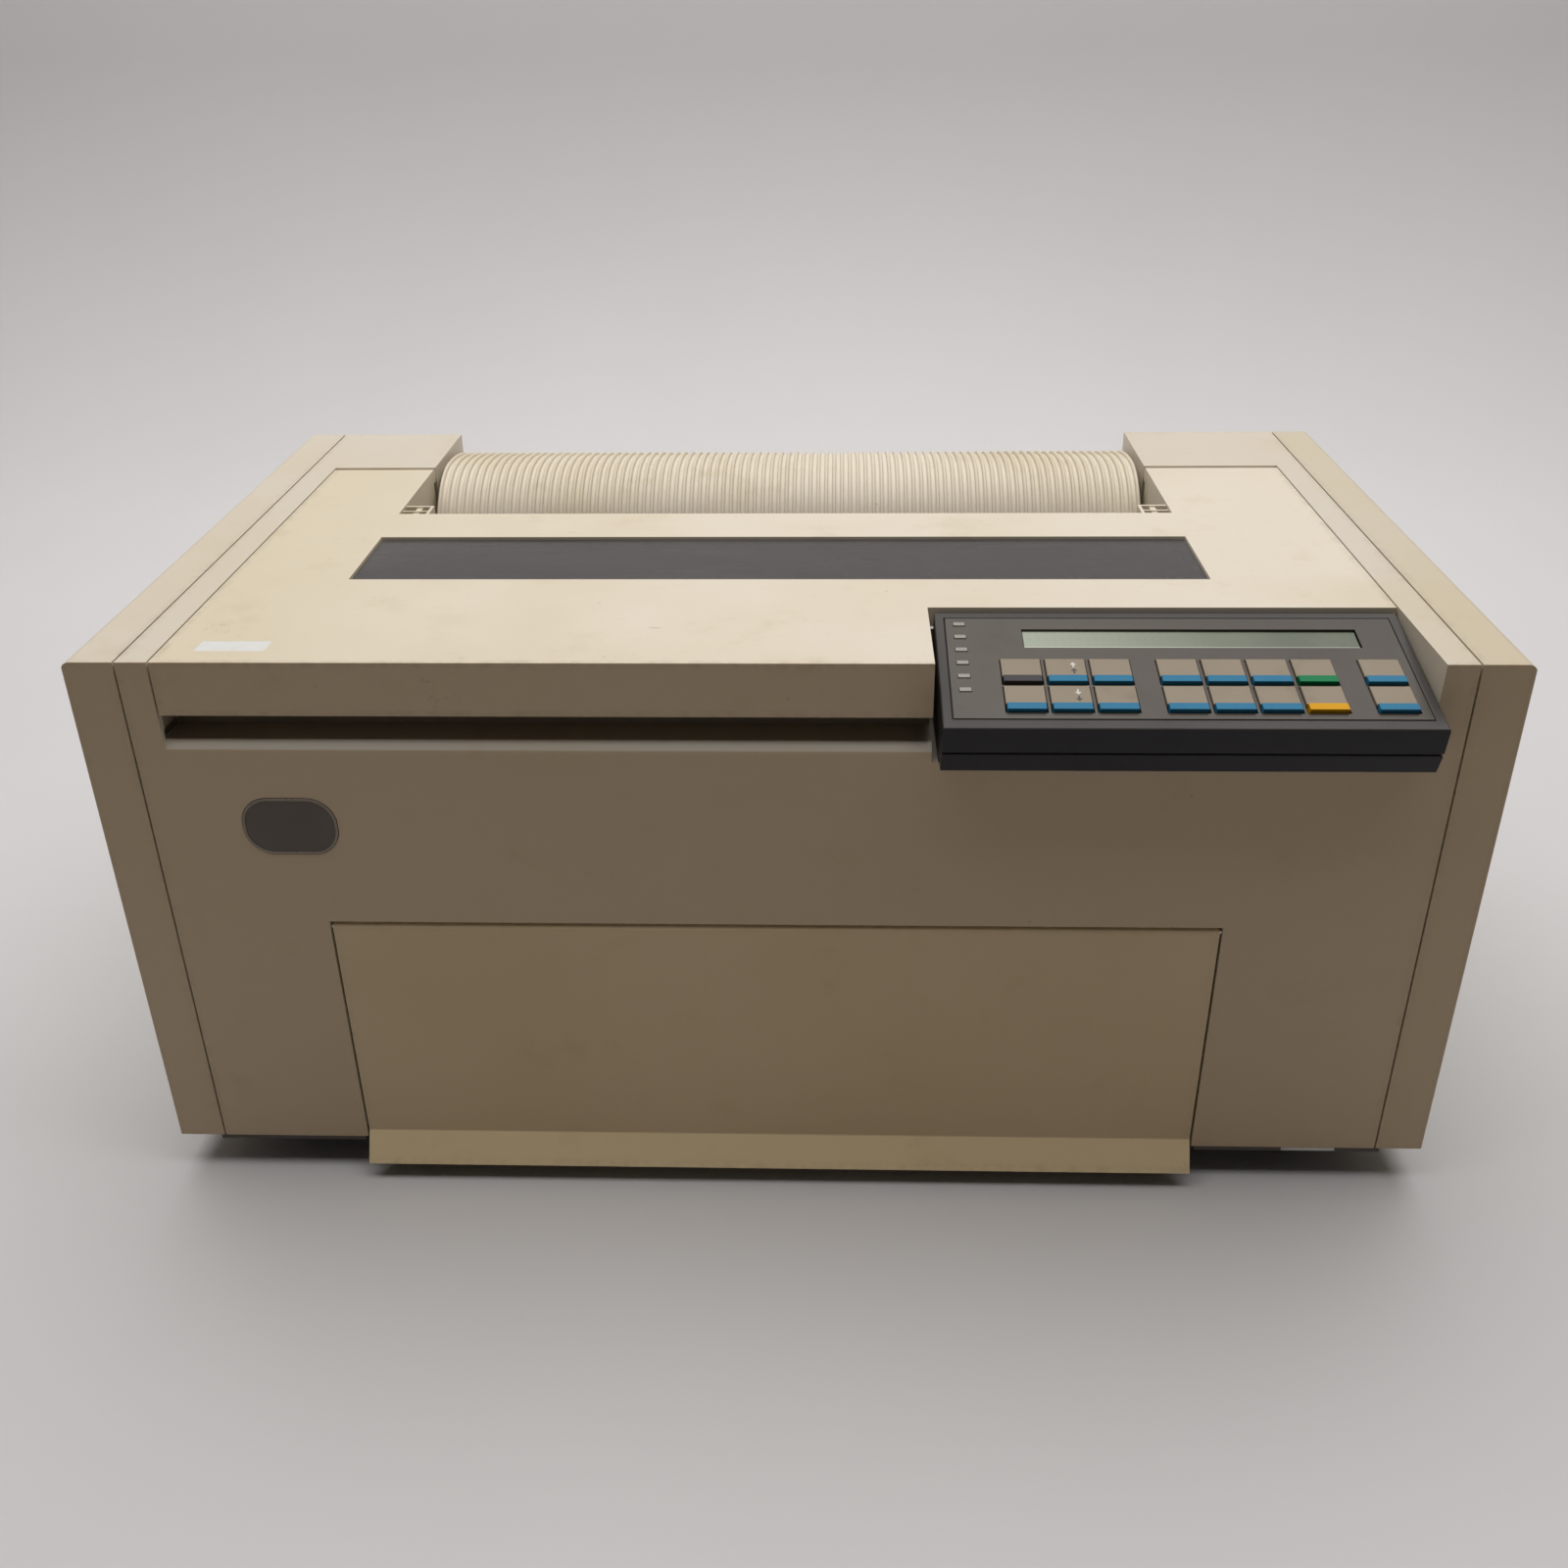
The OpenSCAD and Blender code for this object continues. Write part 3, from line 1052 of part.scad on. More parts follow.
switch_x = psu_x[0] + 22;
switch_z = pan_top + 56;
rocker_pin = 1.4;
rocker_at = [body_d - 9.7, switch_z];
panel_face = [body_d - 7, body_d - 5.4];
module port(x, w, h) {
    block([x - w / 2, x + w / 2], [panel_face[0] - 6, body_d - 0.6], [z0 + 22, z0 + 22 + h]);
}
module rear_panel() color(ZINC) difference() {
    union() {
        block([path_x0 + 6, path_x1 - 6], panel_face, [pan_top + 0.2, z0 + 104]);
        block([path_x0 + 6, path_x1 - 6], [panel_face[1] - 0.01, body_d - wall - 0.05], [z0 + 101.3, z0 + 104]);
        color(BLACK) port(path_x0 + 60, 54, 14);
        color(BLACK) port(path_x0 + 130, 40, 14);
        color(BLACK) block([switch_x - 14, switch_x + 14], [panel_face[0], body_d - 3], [z0 + 8, z0 + 30]);
    }
    block([path_x0 + 36, path_x0 + 84], [body_d - 5, body_d], [z0 + 25, z0 + 33]);
    block([path_x0 + 113, path_x0 + 147], [body_d - 5, body_d], [z0 + 25, z0 + 33]);
    block([switch_x - 11, switch_x + 11], [body_d - 6.5, body_d], [z0 + 11, z0 + 27]);
    for (i = [0:8], j = [0:8]) if (norm([i - 4, j - 4]) < 4.4)
        block([fan_at[0] - 34 + i * 8, fan_at[0] - 28.5 + i * 8], [panel_face[0] - over, panel_face[1] + over], [fan_at[1] - 34 + j * 8, fan_at[1] - 28.5 + j * 8]);
    block([switch_x - 7, switch_x + 7], [panel_face[0] - over, body_d], [switch_z - 12, switch_z + 12]);
}

module power_switch() color(BLACK) {
    at = [body_d - 8.5, switch_z];
    slab([switch_x - 6.4, switch_x + 6.4], concat([at + [-3, -9]], [at + [3.6, -10], at + [2.2, 0], at + [5.8, 9.6], at + [-3, 9]]));
    rod([switch_x - 9, switch_x + 9], rocker_at, rocker_pin);
}

// Pan-head screws along the back of the main cover, and the holes for them.
screw_at = [for (x = [-x_main + 14, x_main - 14], z = [z0 + 16, z0 + 120, z1 - 22]) [x, z]];
module screw_holes() for (p = screw_at) translate([p[0], front_y + body_d + over, p[1]]) rotate([90, 0, 0]) {
    cylinder(h = wall + 2, r = 1.7, $fn = 24);
    cylinder(h = over + 1.6, r = 4, $fn = 32);
}
module case_screws() color(STEEL) for (p = screw_at) translate([p[0], front_y + body_d - 0.1, p[1]]) rotate([90, 0, 0]) difference() {
    union() {
        cylinder(h = 1.4, r = 3.6, $fn = 32);
        cylinder(h = 11, r = 1.6, $fn = 24);
    }
    translate([-2.4, -0.5, -0.1]) cube([4.8, 1, 0.9]);
    translate([-0.5, -2.4, -0.1]) cube([1, 4.8, 0.9]);
}

base_pan();
feet();
main_cover();
side_cover(-1);  // left_side_cover
side_cover(1);  // right_side_cover
hood();
hood_window();
hinge_pins();
front_door();
rear_paper_guide();
badge();
panel_lower_case();
panel_upper_case();
panel_faceplate();
display();
control_board();
print_frame();
guide_rods();
carriage();
print_head();
carriage_belt();
carriage_motor();
drive_pulley();
idler_pulley();
platen();
platen_gear();
idler_gear();
feed_motor();
feed_pinion();
tractor_shaft();
tractor(left_tractor_x, -1);  // left_tractor
tractor(right_tractor_x, 1);  // right_tractor
tractor_lid(left_tractor_x, -1);  // left_tractor_lid
tractor_lid(right_tractor_x, 1);  // right_tractor_lid
paper_bail();
thickness_lever();
ribbon_cartridge();
ribbon_knob();
power_supply();
fan_rotor();
logic_board();
rear_panel();
power_switch();
case_screws();
for (k = KEYS) key(k);
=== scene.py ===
"""Dresses a wide-carriage dot matrix printer: its covers, hood, key panel, ribbed paper guide and mechanism."""

from __future__ import annotations

import logging
import math
from dataclasses import dataclass, field, replace
from enum import Enum
from typing import Iterable, Union

import bmesh
import bpy
from mathutils import Euler, Matrix, Vector


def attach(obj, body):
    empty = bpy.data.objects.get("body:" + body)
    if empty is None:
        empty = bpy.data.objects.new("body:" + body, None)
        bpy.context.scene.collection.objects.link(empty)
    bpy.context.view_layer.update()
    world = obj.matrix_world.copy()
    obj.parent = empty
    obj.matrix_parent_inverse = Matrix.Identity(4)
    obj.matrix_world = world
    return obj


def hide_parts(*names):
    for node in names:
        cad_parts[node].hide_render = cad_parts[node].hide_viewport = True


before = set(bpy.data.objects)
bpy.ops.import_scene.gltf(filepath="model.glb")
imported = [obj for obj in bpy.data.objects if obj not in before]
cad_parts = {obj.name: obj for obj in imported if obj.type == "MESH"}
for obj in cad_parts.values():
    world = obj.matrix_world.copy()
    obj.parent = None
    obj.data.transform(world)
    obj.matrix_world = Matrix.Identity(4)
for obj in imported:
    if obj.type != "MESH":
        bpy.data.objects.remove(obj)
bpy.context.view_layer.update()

LOG = logging.getLogger("printer")
MM = 0.001
STILL_BODY = "printer_body"
Mesh = bmesh.types.BMesh
Face = bmesh.types.BMFace
Edge = bmesh.types.BMEdge
Point = bmesh.types.BMVert
Colour = tuple[float, float, float, float]
Corner = tuple[float, float, float]
Box = tuple[Corner, Corner]
Span = tuple[float, float]
Planes = tuple[tuple[int, float], ...]


def shade(red: int, green: int, blue: int) -> Colour:
    """Turns a screen colour into a linear one.

    Args:
        red: Red from 0 to 255.
        green: Green from 0 to 255.
        blue: Blue from 0 to 255.

    Returns:
        The linear colour with an alpha of 1.
    """

    def linear(value: int) -> float:
        """Undoes the screen's curve for one channel."""
        part = value / 255
        return part / 12.92 if part <= 0.04045 else ((part + 0.055) / 1.055) ** 2.4

    return (linear(red), linear(green), linear(blue), 1.0)


# ---- Shader maths ----


class Blend(Enum):
    """Ways of laying one colour over another."""

    MIX = "MIX"
    MULTIPLY = "MULTIPLY"


class Wire:
    """A node's output, with Python's operators for shader maths."""

    def __init__(self, graph: Graph, socket: bpy.types.NodeSocket) -> None:
        """Keeps the output and the graph that it belongs to."""
        self.graph = graph
        self.socket = socket

    def out(self, name: Union[str, int]) -> Wire:
        """Another output of the same node."""
        return Wire(self.graph, self.socket.node.outputs[name])

    def _maths(self, operation: str, *values: Value) -> Wire:
        """Adds one Math node with its values."""
        return self.graph.node("ShaderNodeMath", {"operation": operation}, dict(enumerate(values)))

    def __add__(self, other: Value) -> Wire:
        """Self plus other."""
        return self._maths("ADD", self, other)

    __radd__ = __add__

    def __sub__(self, other: Value) -> Wire:
        """Self minus other."""
        return self._maths("SUBTRACT", self, other)

    def __rsub__(self, other: Value) -> Wire:
        """Other minus self."""
        return self._maths("SUBTRACT", other, self)

    def __mul__(self, other: Value) -> Wire:
        """Self times other."""
        return self._maths("MULTIPLY", self, other)

    __rmul__ = __mul__

    def __abs__(self) -> Wire:
        """Self without its sign."""
        return self._maths("ABSOLUTE", self)

    def least(self, other: Value) -> Wire:
        """The smaller of self and other."""
        return self._maths("MINIMUM", self, other)

    def most(self, other: Value) -> Wire:
        """The larger of self and other."""
        return self._maths("MAXIMUM", self, other)

    def waves(self) -> Wire:
        """The sine of self."""
        return self._maths("SINE", self)

    def step(self, low: float, high: float) -> Wire:
        """Rises smoothly from 0 to 1.

        Args:
            low: Value at which the rise starts.
            high: Value at which it ends; below low, the result falls instead.

        Returns:
            The mask, from 0 to 1.
        """
        start, end, bottom, top = (low, high, 0.0, 1.0) if low < high else (high, low, 1.0, 0.0)
        return self.graph.node(
            "ShaderNodeMapRange",
            {"interpolation_type": "SMOOTHSTEP", "clamp": True},
            {0: self, 1: start, 2: end, 3: bottom, 4: top},
        )


Value = Union[Wire, float]


class Graph:
    """A node tree, with the patterns that the finishes share."""

    spot_core = 0.4
    chance_fade = 0.02

    def __init__(self, tree: bpy.types.NodeTree) -> None:
        """Starts with an empty tree.

        Args:
            tree: The tree, which is cleared.
        """
        self.tree = tree
        self.tree.nodes.clear()
        self._place: Wire | None = None

    def end(self, kind: str, shader: Wire) -> None:
        """Adds the tree's output node and links a shader to it."""
        self.tree.links.new(shader.socket, self.tree.nodes.new(kind).inputs["Surface"])

    def node(
        self,
        kind: str,
        settings: dict[str, object] | None = None,
        inputs: dict[Union[int, str], object] | None = None,
        output: Union[int, str] = 0,
    ) -> Wire:
        """Adds a node.

        Args:
            kind: The node's type.
            settings: Its properties, set before its sockets.
            inputs: Values or wires by socket number or name.
            output: The output to hand back.

        Returns:
            That output.
        """
        made = self.tree.nodes.new(kind)
        for name, value in (settings or {}).items():
            setattr(made, name, value)
        for key, value in (inputs or {}).items():
            if isinstance(value, Wire):
                self.tree.links.new(value.socket, made.inputs[key])
            else:
                made.inputs[key].default_value = value
        return Wire(self, made.outputs[output])

    def place(self) -> Wire:
        """The point on the object, in metres."""
        self._place = self._place or self.node("ShaderNodeTexCoord", output="Object")
        return self._place

    def split(self, vector: Wire) -> tuple[Wire, Wire, Wire]:
        """A vector's three parts."""
        first = self.node("ShaderNodeSeparateXYZ", inputs={0: vector})
        return first, first.out(1), first.out(2)

    def moved(
        self, turn: Corner = (0.0, 0.0, 0.0), scale: Corner = (1.0, 1.0, 1.0), shift: Corner = (0.0, 0.0, 0.0)
    ) -> Wire:
        """Points scaled, turned and shifted for a pattern.

        Args:
            turn: Turn about each axis, in degrees.
            scale: Scale along each axis.
            shift: Shift that is added, in metres.

        Returns:
            The new points.
        """
        angles = tuple(math.radians(angle) for angle in turn)
        return self.node(
            "ShaderNodeMapping",
            inputs={"Vector": self.place(), "Location": shift, "Rotation": angles, "Scale": scale},
        )

    def noise(self, scale: float, detail: float = 2.0, rough: float = 0.5, points: Wire | None = None) -> Wire:
        """A cloudy pattern.

        Args:
            scale: Waves in a metre.
            detail: Finer layers.
            rough: Strength of the finer layers.
            points: Points to read, or None for the object's own.

        Returns:
            The pattern, about 0.5 in the middle.
        """
        return self.node(
            "ShaderNodeTexNoise",
            {"noise_dimensions": "3D"},
            {"Vector": points or self.place(), "Scale": scale, "Detail": detail, "Roughness": rough},
        )

    def scattered(self, scale: float, size: float, share: float, points: Wire | None = None) -> Wire:
        """Spots on a few scattered points.

        Args:
            scale: Points in a metre.
            size: Radius of a spot, in cells.
            share: Share of the points that has a spot.
            points: Points to read, or None for the object's own.

        Returns:
            The mask of the spots.
        """
        distance = self.node(
            "ShaderNodeTexVoronoi",
            {"feature": "F1"},
            {"Vector": points or self.place(), "Scale": scale, "Randomness": 1.0},
        )
        chance = self.split(distance.out("Color"))[0].step(1 - share - self.chance_fade, 1 - share)
        return distance.step(size, size * self.spot_core) * chance

    def blend(self, amount: Value, first: object, second: object, how: Blend = Blend.MIX) -> Wire:
        """Lays one colour over another.

        Args:
            amount: Share of the second, from 0 to 1.
            first: The colour below.
            second: The colour above.
            how: The way they are laid.

        Returns:
            The colour.
        """
        return self.node(
            "ShaderNodeMix",
            {"data_type": "RGBA", "blend_type": how.value, "clamp_factor": True},
            {0: amount, 6: first, 7: second},
            output=2,
        )

    def bump(self, height: Wire, depth: float) -> Wire:
        """A normal tilted by a height from 0 to 1, where 1 is so deep in metres."""
        return self.node("ShaderNodeBump", inputs={"Height": height, "Distance": depth})

    def _depths(self, box: Box) -> list[Wire]:
        """How deep a point lies between each pair of a box's sides, in metres."""
        sides = zip(self.split(self.place()), *box)
        return [(high - low) / 2 - abs(axis - (high + low) / 2) for axis, low, high in sides]

    def edge_gap(self, box: Box) -> Wire:
        """Distance over a box's skin to its nearest edge, in metres."""
        x, y, z = self._depths(box)
        return x.least(y).most(x.most(y).least(z))

    def within(self, box: Box, soft: float) -> Wire:
        """A mask that is 1 inside a box, with a faded edge so wide in metres."""
        x, y, z = (depth.step(0.0, soft) for depth in self._depths(box))
        return x * y * z


class Surface(Graph):
    """One material's node tree, with its main shader."""

    def __init__(self, name: str) -> None:
        """Starts a material with a Principled shader.

        Args:
            name: The material's name.
        """
        self.material = bpy.data.materials.new(name)
        self.material.use_nodes = True
        super().__init__(self.material.node_tree)
        main = self.node("ShaderNodeBsdfPrincipled")
        self.end("ShaderNodeOutputMaterial", main)
        self.shader = main.socket.node

    def set(self, socket: str, value: object) -> None:
        """Sets or links one of the main shader's sockets.

        Args:
            socket: The socket's name.
            value: A wire, or a value that is the same all over.
        """
        target = self.shader.inputs[socket]
        if isinstance(value, Wire):
            self.tree.links.new(value.socket, target)
        else:
            target.default_value = value


# ---- Finishes ----


@dataclass(frozen=True)
class Finish:
    """The look of one material."""

    name: str
    colour: Colour
    roughness: float = 0.5

    def material(self) -> bpy.types.Material:
        """Makes the material.

        Returns:
            The material.
        """
        graph = Surface(self.name)
        self.paint(graph)
        return graph.material

    def paint(self, graph: Surface) -> None:
        """Sets the shader's sockets from this finish."""
        raise NotImplementedError


@dataclass(frozen=True)
class Film:
    """A film that lies on one side of a part, such as ageing, dust, painted shade or a painted highlight."""

    colour: Colour
    amount: float
    axis: int
    start: float
    full: float
    tilt: float = 0.0

    def over(self, graph: Graph, colour: Wire) -> Wire:
        """Lays the film over a colour.

        Args:
            graph: The graph that holds the colour.
            colour: The colour below.

        Returns:
            The colour with the film.
        """
        points = graph.moved((-self.tilt, 0.0, 0.0))
        mask = graph.split(points)[self.axis].step(self.start, self.full)
        return graph.blend(mask * self.amount, colour, self.colour)


@dataclass(frozen=True)
class MouldedPlastic(Finish):
    """Fine-textured plastic that has yellowed, with stains, specks and scuffs, and with films and a darkened recess
    that in places paint shade, sheen and highlights.
    """

    aged: Colour = (0.6, 0.5, 0.36, 1.0)
    grime: Colour = (0.16, 0.12, 0.07, 1.0)
    ageing: float = 0.35
    staining: float = 0.25
    specks: float = 0.5
    grain: float = 0.03 * MM
    specular: float = 0.42
    edges: Box | None = None
    edge_grime: float = 0.12
    # Recess darkened with the grime colour: partly dirt, partly painted shade.
    dirty_shaded_hollow: Box | None = None
    label: Box | None = None
    label_colour: Colour = (0.72, 0.72, 0.69, 1.0)
    films: tuple[Film, ...] = ()
    scars: tuple[Box, ...] = ()

    def paint(self, graph: Surface) -> None:
        """Lays tone, films (in places painted shade, sheen and highlights), stains, marks, a recess darkened by dirt
        and painted shade, and a fine grain over the plastic.

        Args:
            graph: The material's graph.
        """
        tone = graph.noise(6.0, 3.0, 0.55).step(0.38, 0.66)
        stain = graph.noise(31.0, 5.0, 0.66)
        mottle = graph.noise(170.0, 3.0, 0.6)
        grain = graph.noise(1500.0)
        colour = graph.blend(tone * self.ageing, self.colour, self.aged)
        for film in self.films:
            colour = film.over(graph, colour)
        colour = graph.blend(stain.step(0.54, 0.82) * (0.75 * self.staining), colour, self.aged, Blend.MULTIPLY)
        colour = graph.blend(mottle.step(0.55, 0.85) * (0.16 * self.staining), colour, self.grime)
        colour = graph.blend(self._marks(graph), colour, self.grime)
        if self.edges:
            gap = graph.edge_gap(self.edges) - stain * (2 * MM)
            worn = gap.step(3.2 * MM, 0.4 * MM) * mottle.step(0.3, 0.75) * self.edge_grime
            colour = graph.blend(worn, colour, self.grime)
        if self.dirty_shaded_hollow:
            # Painted shade: the recess is darkened as if in shadow, along with the dirt that settles in it.
            colour = graph.blend(graph.within(self.dirty_shaded_hollow, 1 * MM) * 0.7, colour, self.grime)
        rough = self.roughness + (grain - 0.5) * 0.14 + (stain - 0.5) * 0.16 - tone * 0.04
        height = grain + mottle * 0.6
        if self.label:
            frayed = graph.within(self.label, 0.25 * MM) * graph.noise(420.0, 3.0, 0.7).step(0.22, 0.3)
            paper = graph.blend(mottle.step(0.45, 0.8) * 0.3, self.label_colour, self.aged)
            colour = graph.blend(frayed, colour, paper)
            rough = rough * (1 - frayed) + frayed * 0.62
            height = height + frayed * 3.0
        graph.set("Base Color", colour)
        graph.set("Roughness", rough)
        graph.set("Normal", graph.bump(height, self.grain))
        graph.set("Specular IOR Level", self.specular)

    def _marks(self, graph: Surface) -> Wire:
        """Masks the small dark specks, the scuffs and the scars.

        Args:
            graph: The material's graph.

        Returns:
            The mask.
        """
        specks = graph.scattered(46.0, 0.045, 0.05)
        crumbs = graph.scattered(150.0, 0.09, 0.02)
        slanted = graph.moved((22.0, 8.0, 31.0), (0.22, 1.0, 1.0), (0.13, 0.04, 0.02))
        scuffs = graph.scattered(62.0, 0.055, 0.035, slanted)
        marks = (specks * 0.55).most(crumbs * 0.4).most(scuffs * 0.5) * self.specks
        for box in self.scars:
            smudge = graph.noise(330.0, 4.0, 0.75).step(0.55, 0.62) * graph.within(box, 4 * MM)
            marks = marks.most(smudge * 0.75)
        return marks


@dataclass(frozen=True)
class Metal(Finish):
    """Brushed, cast or plated metal with dull patches."""

    dull: Colour = (0.2, 0.19, 0.17, 1.0)
    brushed: Corner = (1.0, 1.0, 1.0)
    brush_depth: float = 0.02 * MM
    patches: float = 0.35
    plastic: Colour = (0.02, 0.02, 0.021, 1.0)
    sockets: tuple[Box, ...] = ()

    def paint(self, graph: Surface) -> None:
        """Lays brush lines and dull patches over the metal, and dark plastic over its sockets.

        Args:
            graph: The material's graph.
        """
        lines = graph.noise(900.0, 3.0, 0.6, graph.moved(scale=self.brushed))
        cloud = graph.noise(26.0, 4.0, 0.6)
        spots = graph.scattered(120.0, 0.12, 0.05)
        dull = (cloud.step(0.45, 0.72) * self.patches).most(spots * 0.5)
        colour = graph.blend(dull, self.colour, self.dull)
        metallic = 1 - dull * 0.5
        for box in self.sockets:
            socket = graph.within(box, 0.1 * MM)
            colour = graph.blend(socket, colour, self.plastic)
            metallic = metallic * (1 - socket)
        graph.set("Base Color", colour)
        graph.set("Metallic", metallic)
        graph.set("Roughness", self.roughness + (lines - 0.5) * 0.2 + dull * 0.25)
        graph.set("Normal", graph.bump(lines, self.brush_depth))


@dataclass(frozen=True)
class Coat(Finish):
    """Sprayed paint or anodising with small worn spots."""

    bare: Colour = (0.35, 0.34, 0.32, 1.0)
    metallic: float = 0.0
    peel: float = 0.03 * MM

    def paint(self, graph: Surface) -> None:
        """Lays orange peel, dust and worn spots over the paint.

        Args:
            graph: The material's graph.
        """
        peel = graph.noise(700.0)
        cloud = graph.noise(24.0, 4.0, 0.6)
        worn = graph.scattered(70.0, 0.06, 0.06)
        colour = graph.blend(cloud.step(0.4, 0.75) * 0.22, self.colour, self.bare)
        graph.set("Base Color", graph.blend(worn * 0.8, colour, self.bare))
        graph.set("Metallic", worn * 0.6 + self.metallic)
        graph.set("Roughness", self.roughness + (cloud - 0.5) * 0.2 + (peel - 0.5) * 0.08)
        graph.set("Normal", graph.bump(peel, self.peel))


@dataclass(frozen=True)
class Rubber(Finish):
    """Matte rubber with dust in its pores."""

    dust: Colour = (0.16, 0.15, 0.14, 1.0)
    pores: float = 0.04 * MM

    def paint(self, graph: Surface) -> None:
        """Lays pores and dust over the rubber.

        Args:
            graph: The material's graph.
        """
        pores = graph.noise(1100.0, 3.0, 0.6)
        dust = graph.noise(36.0, 5.0, 0.7).step(0.46, 0.8) * 0.5 * pores.step(0.3, 0.7)
        graph.set("Base Color", graph.blend(dust, self.colour, self.dust))
        graph.set("Roughness", self.roughness + dust * 0.25 + (pores - 0.5) * 0.1)
        graph.set("Normal", graph.bump(pores, self.pores))


@dataclass(frozen=True)
class SmokedPane(Finish):
    """A see-through dark pane with fine scratches, dust and smears."""

    haze: Colour = (0.15, 0.14, 0.13, 1.0)
    dust: Colour = (0.4, 0.37, 0.32, 1.0)
    opacity: float = 0.94
    scratch_depth: float = 0.012 * MM

    def paint(self, graph: Surface) -> None:
        """Lays scratches and smears over the pane.

        Args:
            graph: The material's graph.
        """
        smear = graph.noise(14.0, 4.0, 0.6, graph.moved((0.0, 0.0, 12.0), (0.5, 1.4, 1.0)))
        scratch = graph.noise(380.0, 2.0, 0.7, graph.moved((0.0, 0.0, 7.0), (0.05, 1.0, 1.0)))
        dust = graph.scattered(260.0, 0.1, 0.08)
        film = smear.step(0.4, 0.8) * 0.35
        colour = graph.blend(film, self.colour, self.haze)
        graph.set("Base Color", graph.blend(dust * 0.5, colour, self.dust))
        graph.set("Roughness", self.roughness + film * 0.35 + scratch.step(0.6, 0.75) * 0.14 + dust * 0.3)
        graph.set("Normal", graph.bump(scratch, self.scratch_depth))
        graph.set("Alpha", self.opacity)
        graph.set("IOR", 1.5)


@dataclass(frozen=True)
class CrystalDisplay(Finish):
    """A reflective liquid crystal display, with faint character cells, painted shade that deepens along it and a
    painted highlight along its lower rim.
    """

    # Painted shade: the colour that the display darkens to towards the right.
    far_painted_shade: Colour = (0.18, 0.2, 0.12, 1.0)
    # Colour of the painted highlight along the display's lower rim.
    rim: Colour = (0.6, 0.64, 0.54, 1.0)
    cell_colour: Colour = (0.07, 0.09, 0.05, 1.0)
    cloud: Colour = (0.35, 0.38, 0.28, 1.0)
    span: Span = (0.1, 0.25)
    rim_at: float = -65.9 * MM
    cell: Span = (3.6 * MM, 5.6 * MM)
    turn: float = 12.5

    def paint(self, graph: Surface) -> None:
        """Lays the cells, painted shade that deepens along the display and a painted highlight on its lower rim.

        Args:
            graph: The material's graph.
        """
        across, down, _ = graph.split(graph.moved((-self.turn, 0.0, 0.0)))
        tone = across.step(*self.span)
        cells = ((across * (math.tau / self.cell[0])).waves() * 0.5 + 0.5).step(0.2, 0.6)
        rows = ((down * (math.tau / self.cell[1])).waves() * 0.5 + 0.5).step(0.15, 0.5)
        cloud = graph.noise(60.0, 3.0)
        # Painted shade: the display turns darker and greener towards the right.
        colour = graph.blend(tone, self.colour, self.far_painted_shade)
        colour = graph.blend(cells * rows * 0.05, colour, self.cell_colour)
        colour = graph.blend(cloud.step(0.4, 0.7) * 0.08, colour, self.cloud)
        # Painted highlight: a pale band along the display's lower rim.
        edge = down.step(self.rim_at + 0.1 * MM, self.rim_at - 0.1 * MM) * (1 - tone * 0.5)
        graph.set("Base Color", graph.blend(edge * 0.9, colour, self.rim))
        graph.set("Specular IOR Level", 0.35)
        graph.set("Roughness", self.roughness + cloud * 0.12)
        graph.set("Coat Weight", 0.2)
        graph.set("Coat Roughness", 0.08)


@dataclass(frozen=True)
class CircuitBoard(Finish):
    """Green solder mask with copper traces and tinned pads."""

    trace: Colour = (0.06, 0.22, 0.1, 1.0)
    pad: Colour = (0.55, 0.53, 0.48, 1.0)
    height: float = 0.06 * MM

    def paint(self, graph: Surface) -> None:
        """Lays traces and tinned pads over the board.

        Args:
            graph: The material's graph.
        """
        across, down, _ = graph.split(graph.place())
        wander = graph.noise(30.0, 1.0)
        lines = (across * 900.0 + wander * 9.0).waves().step(0.55, 0.75) * wander.step(0.42, 0.5)
        ways = (down * 900.0 + wander * 9.0).waves().step(0.55, 0.75) * wander.step(0.5, 0.42)
        traces = lines.most(ways)
        pads = graph.scattered(190.0, 0.16, 0.35)
        graph.set("Base Color", graph.blend(pads, graph.blend(traces, self.colour, self.trace), self.pad))
        graph.set("Metallic", pads * 0.9)
        graph.set("Roughness", self.roughness + wander * 0.15)
        graph.set("Normal", graph.bump(traces.most(pads), self.height))


@dataclass(frozen=True)
class PlainSheet(Finish):
    """The matte floor and backdrop."""

    cloud: Colour = (0.4, 0.4, 0.4, 1.0)
    grain: float = 0.05 * MM

    def paint(self, graph: Surface) -> None:
        """Lays a faint cloud over the sheet.

        Args:
            graph: The material's graph.
        """
        cloud = graph.noise(2.2, 3.0, 0.6)
        graph.set("Base Color", graph.blend(cloud.step(0.35, 0.7) * 0.3, self.colour, self.cloud))
        graph.set("Roughness", self.roughness + cloud * 0.1)
        graph.set("Normal", graph.bump(graph.noise(300.0), self.grain))


# ---- Finishes of this printer ----

HOOD_BOX: Box = ((-0.2701, -0.1645, 0.2535), (0.2701, 0.1131, 0.2785))
COVER_BOX: Box = ((-0.28475, -0.1645, 0.02), (0.28475, 0.1845, 0.2785))
LEFT_BOX: Box = ((-0.308, -0.1645, 0.02), (-0.28565, 0.1845, 0.2785))
RIGHT_BOX: Box = ((0.28565, -0.1645, 0.02), (0.308, 0.1845, 0.2785))
DOOR_BOX: Box = ((-0.21145, -0.173, 0.0098), (0.19465, -0.1615, 0.1473))
SCOOP_BOX: Box = ((-0.272, -0.161, 0.2375), (0.062, -0.14, 0.256))

# Front faces: partly yellowed with age, partly painted shade, darker and warmer than the tops.
FRONT_AGEING_AND_PAINTED_SHADE = Film(shade(184, 160, 127), 0.9, 1, -0.1639, -0.1642)
HOOD_TAN = Film(shade(215, 201, 170), 0.6, 0, -0.12, -0.25)
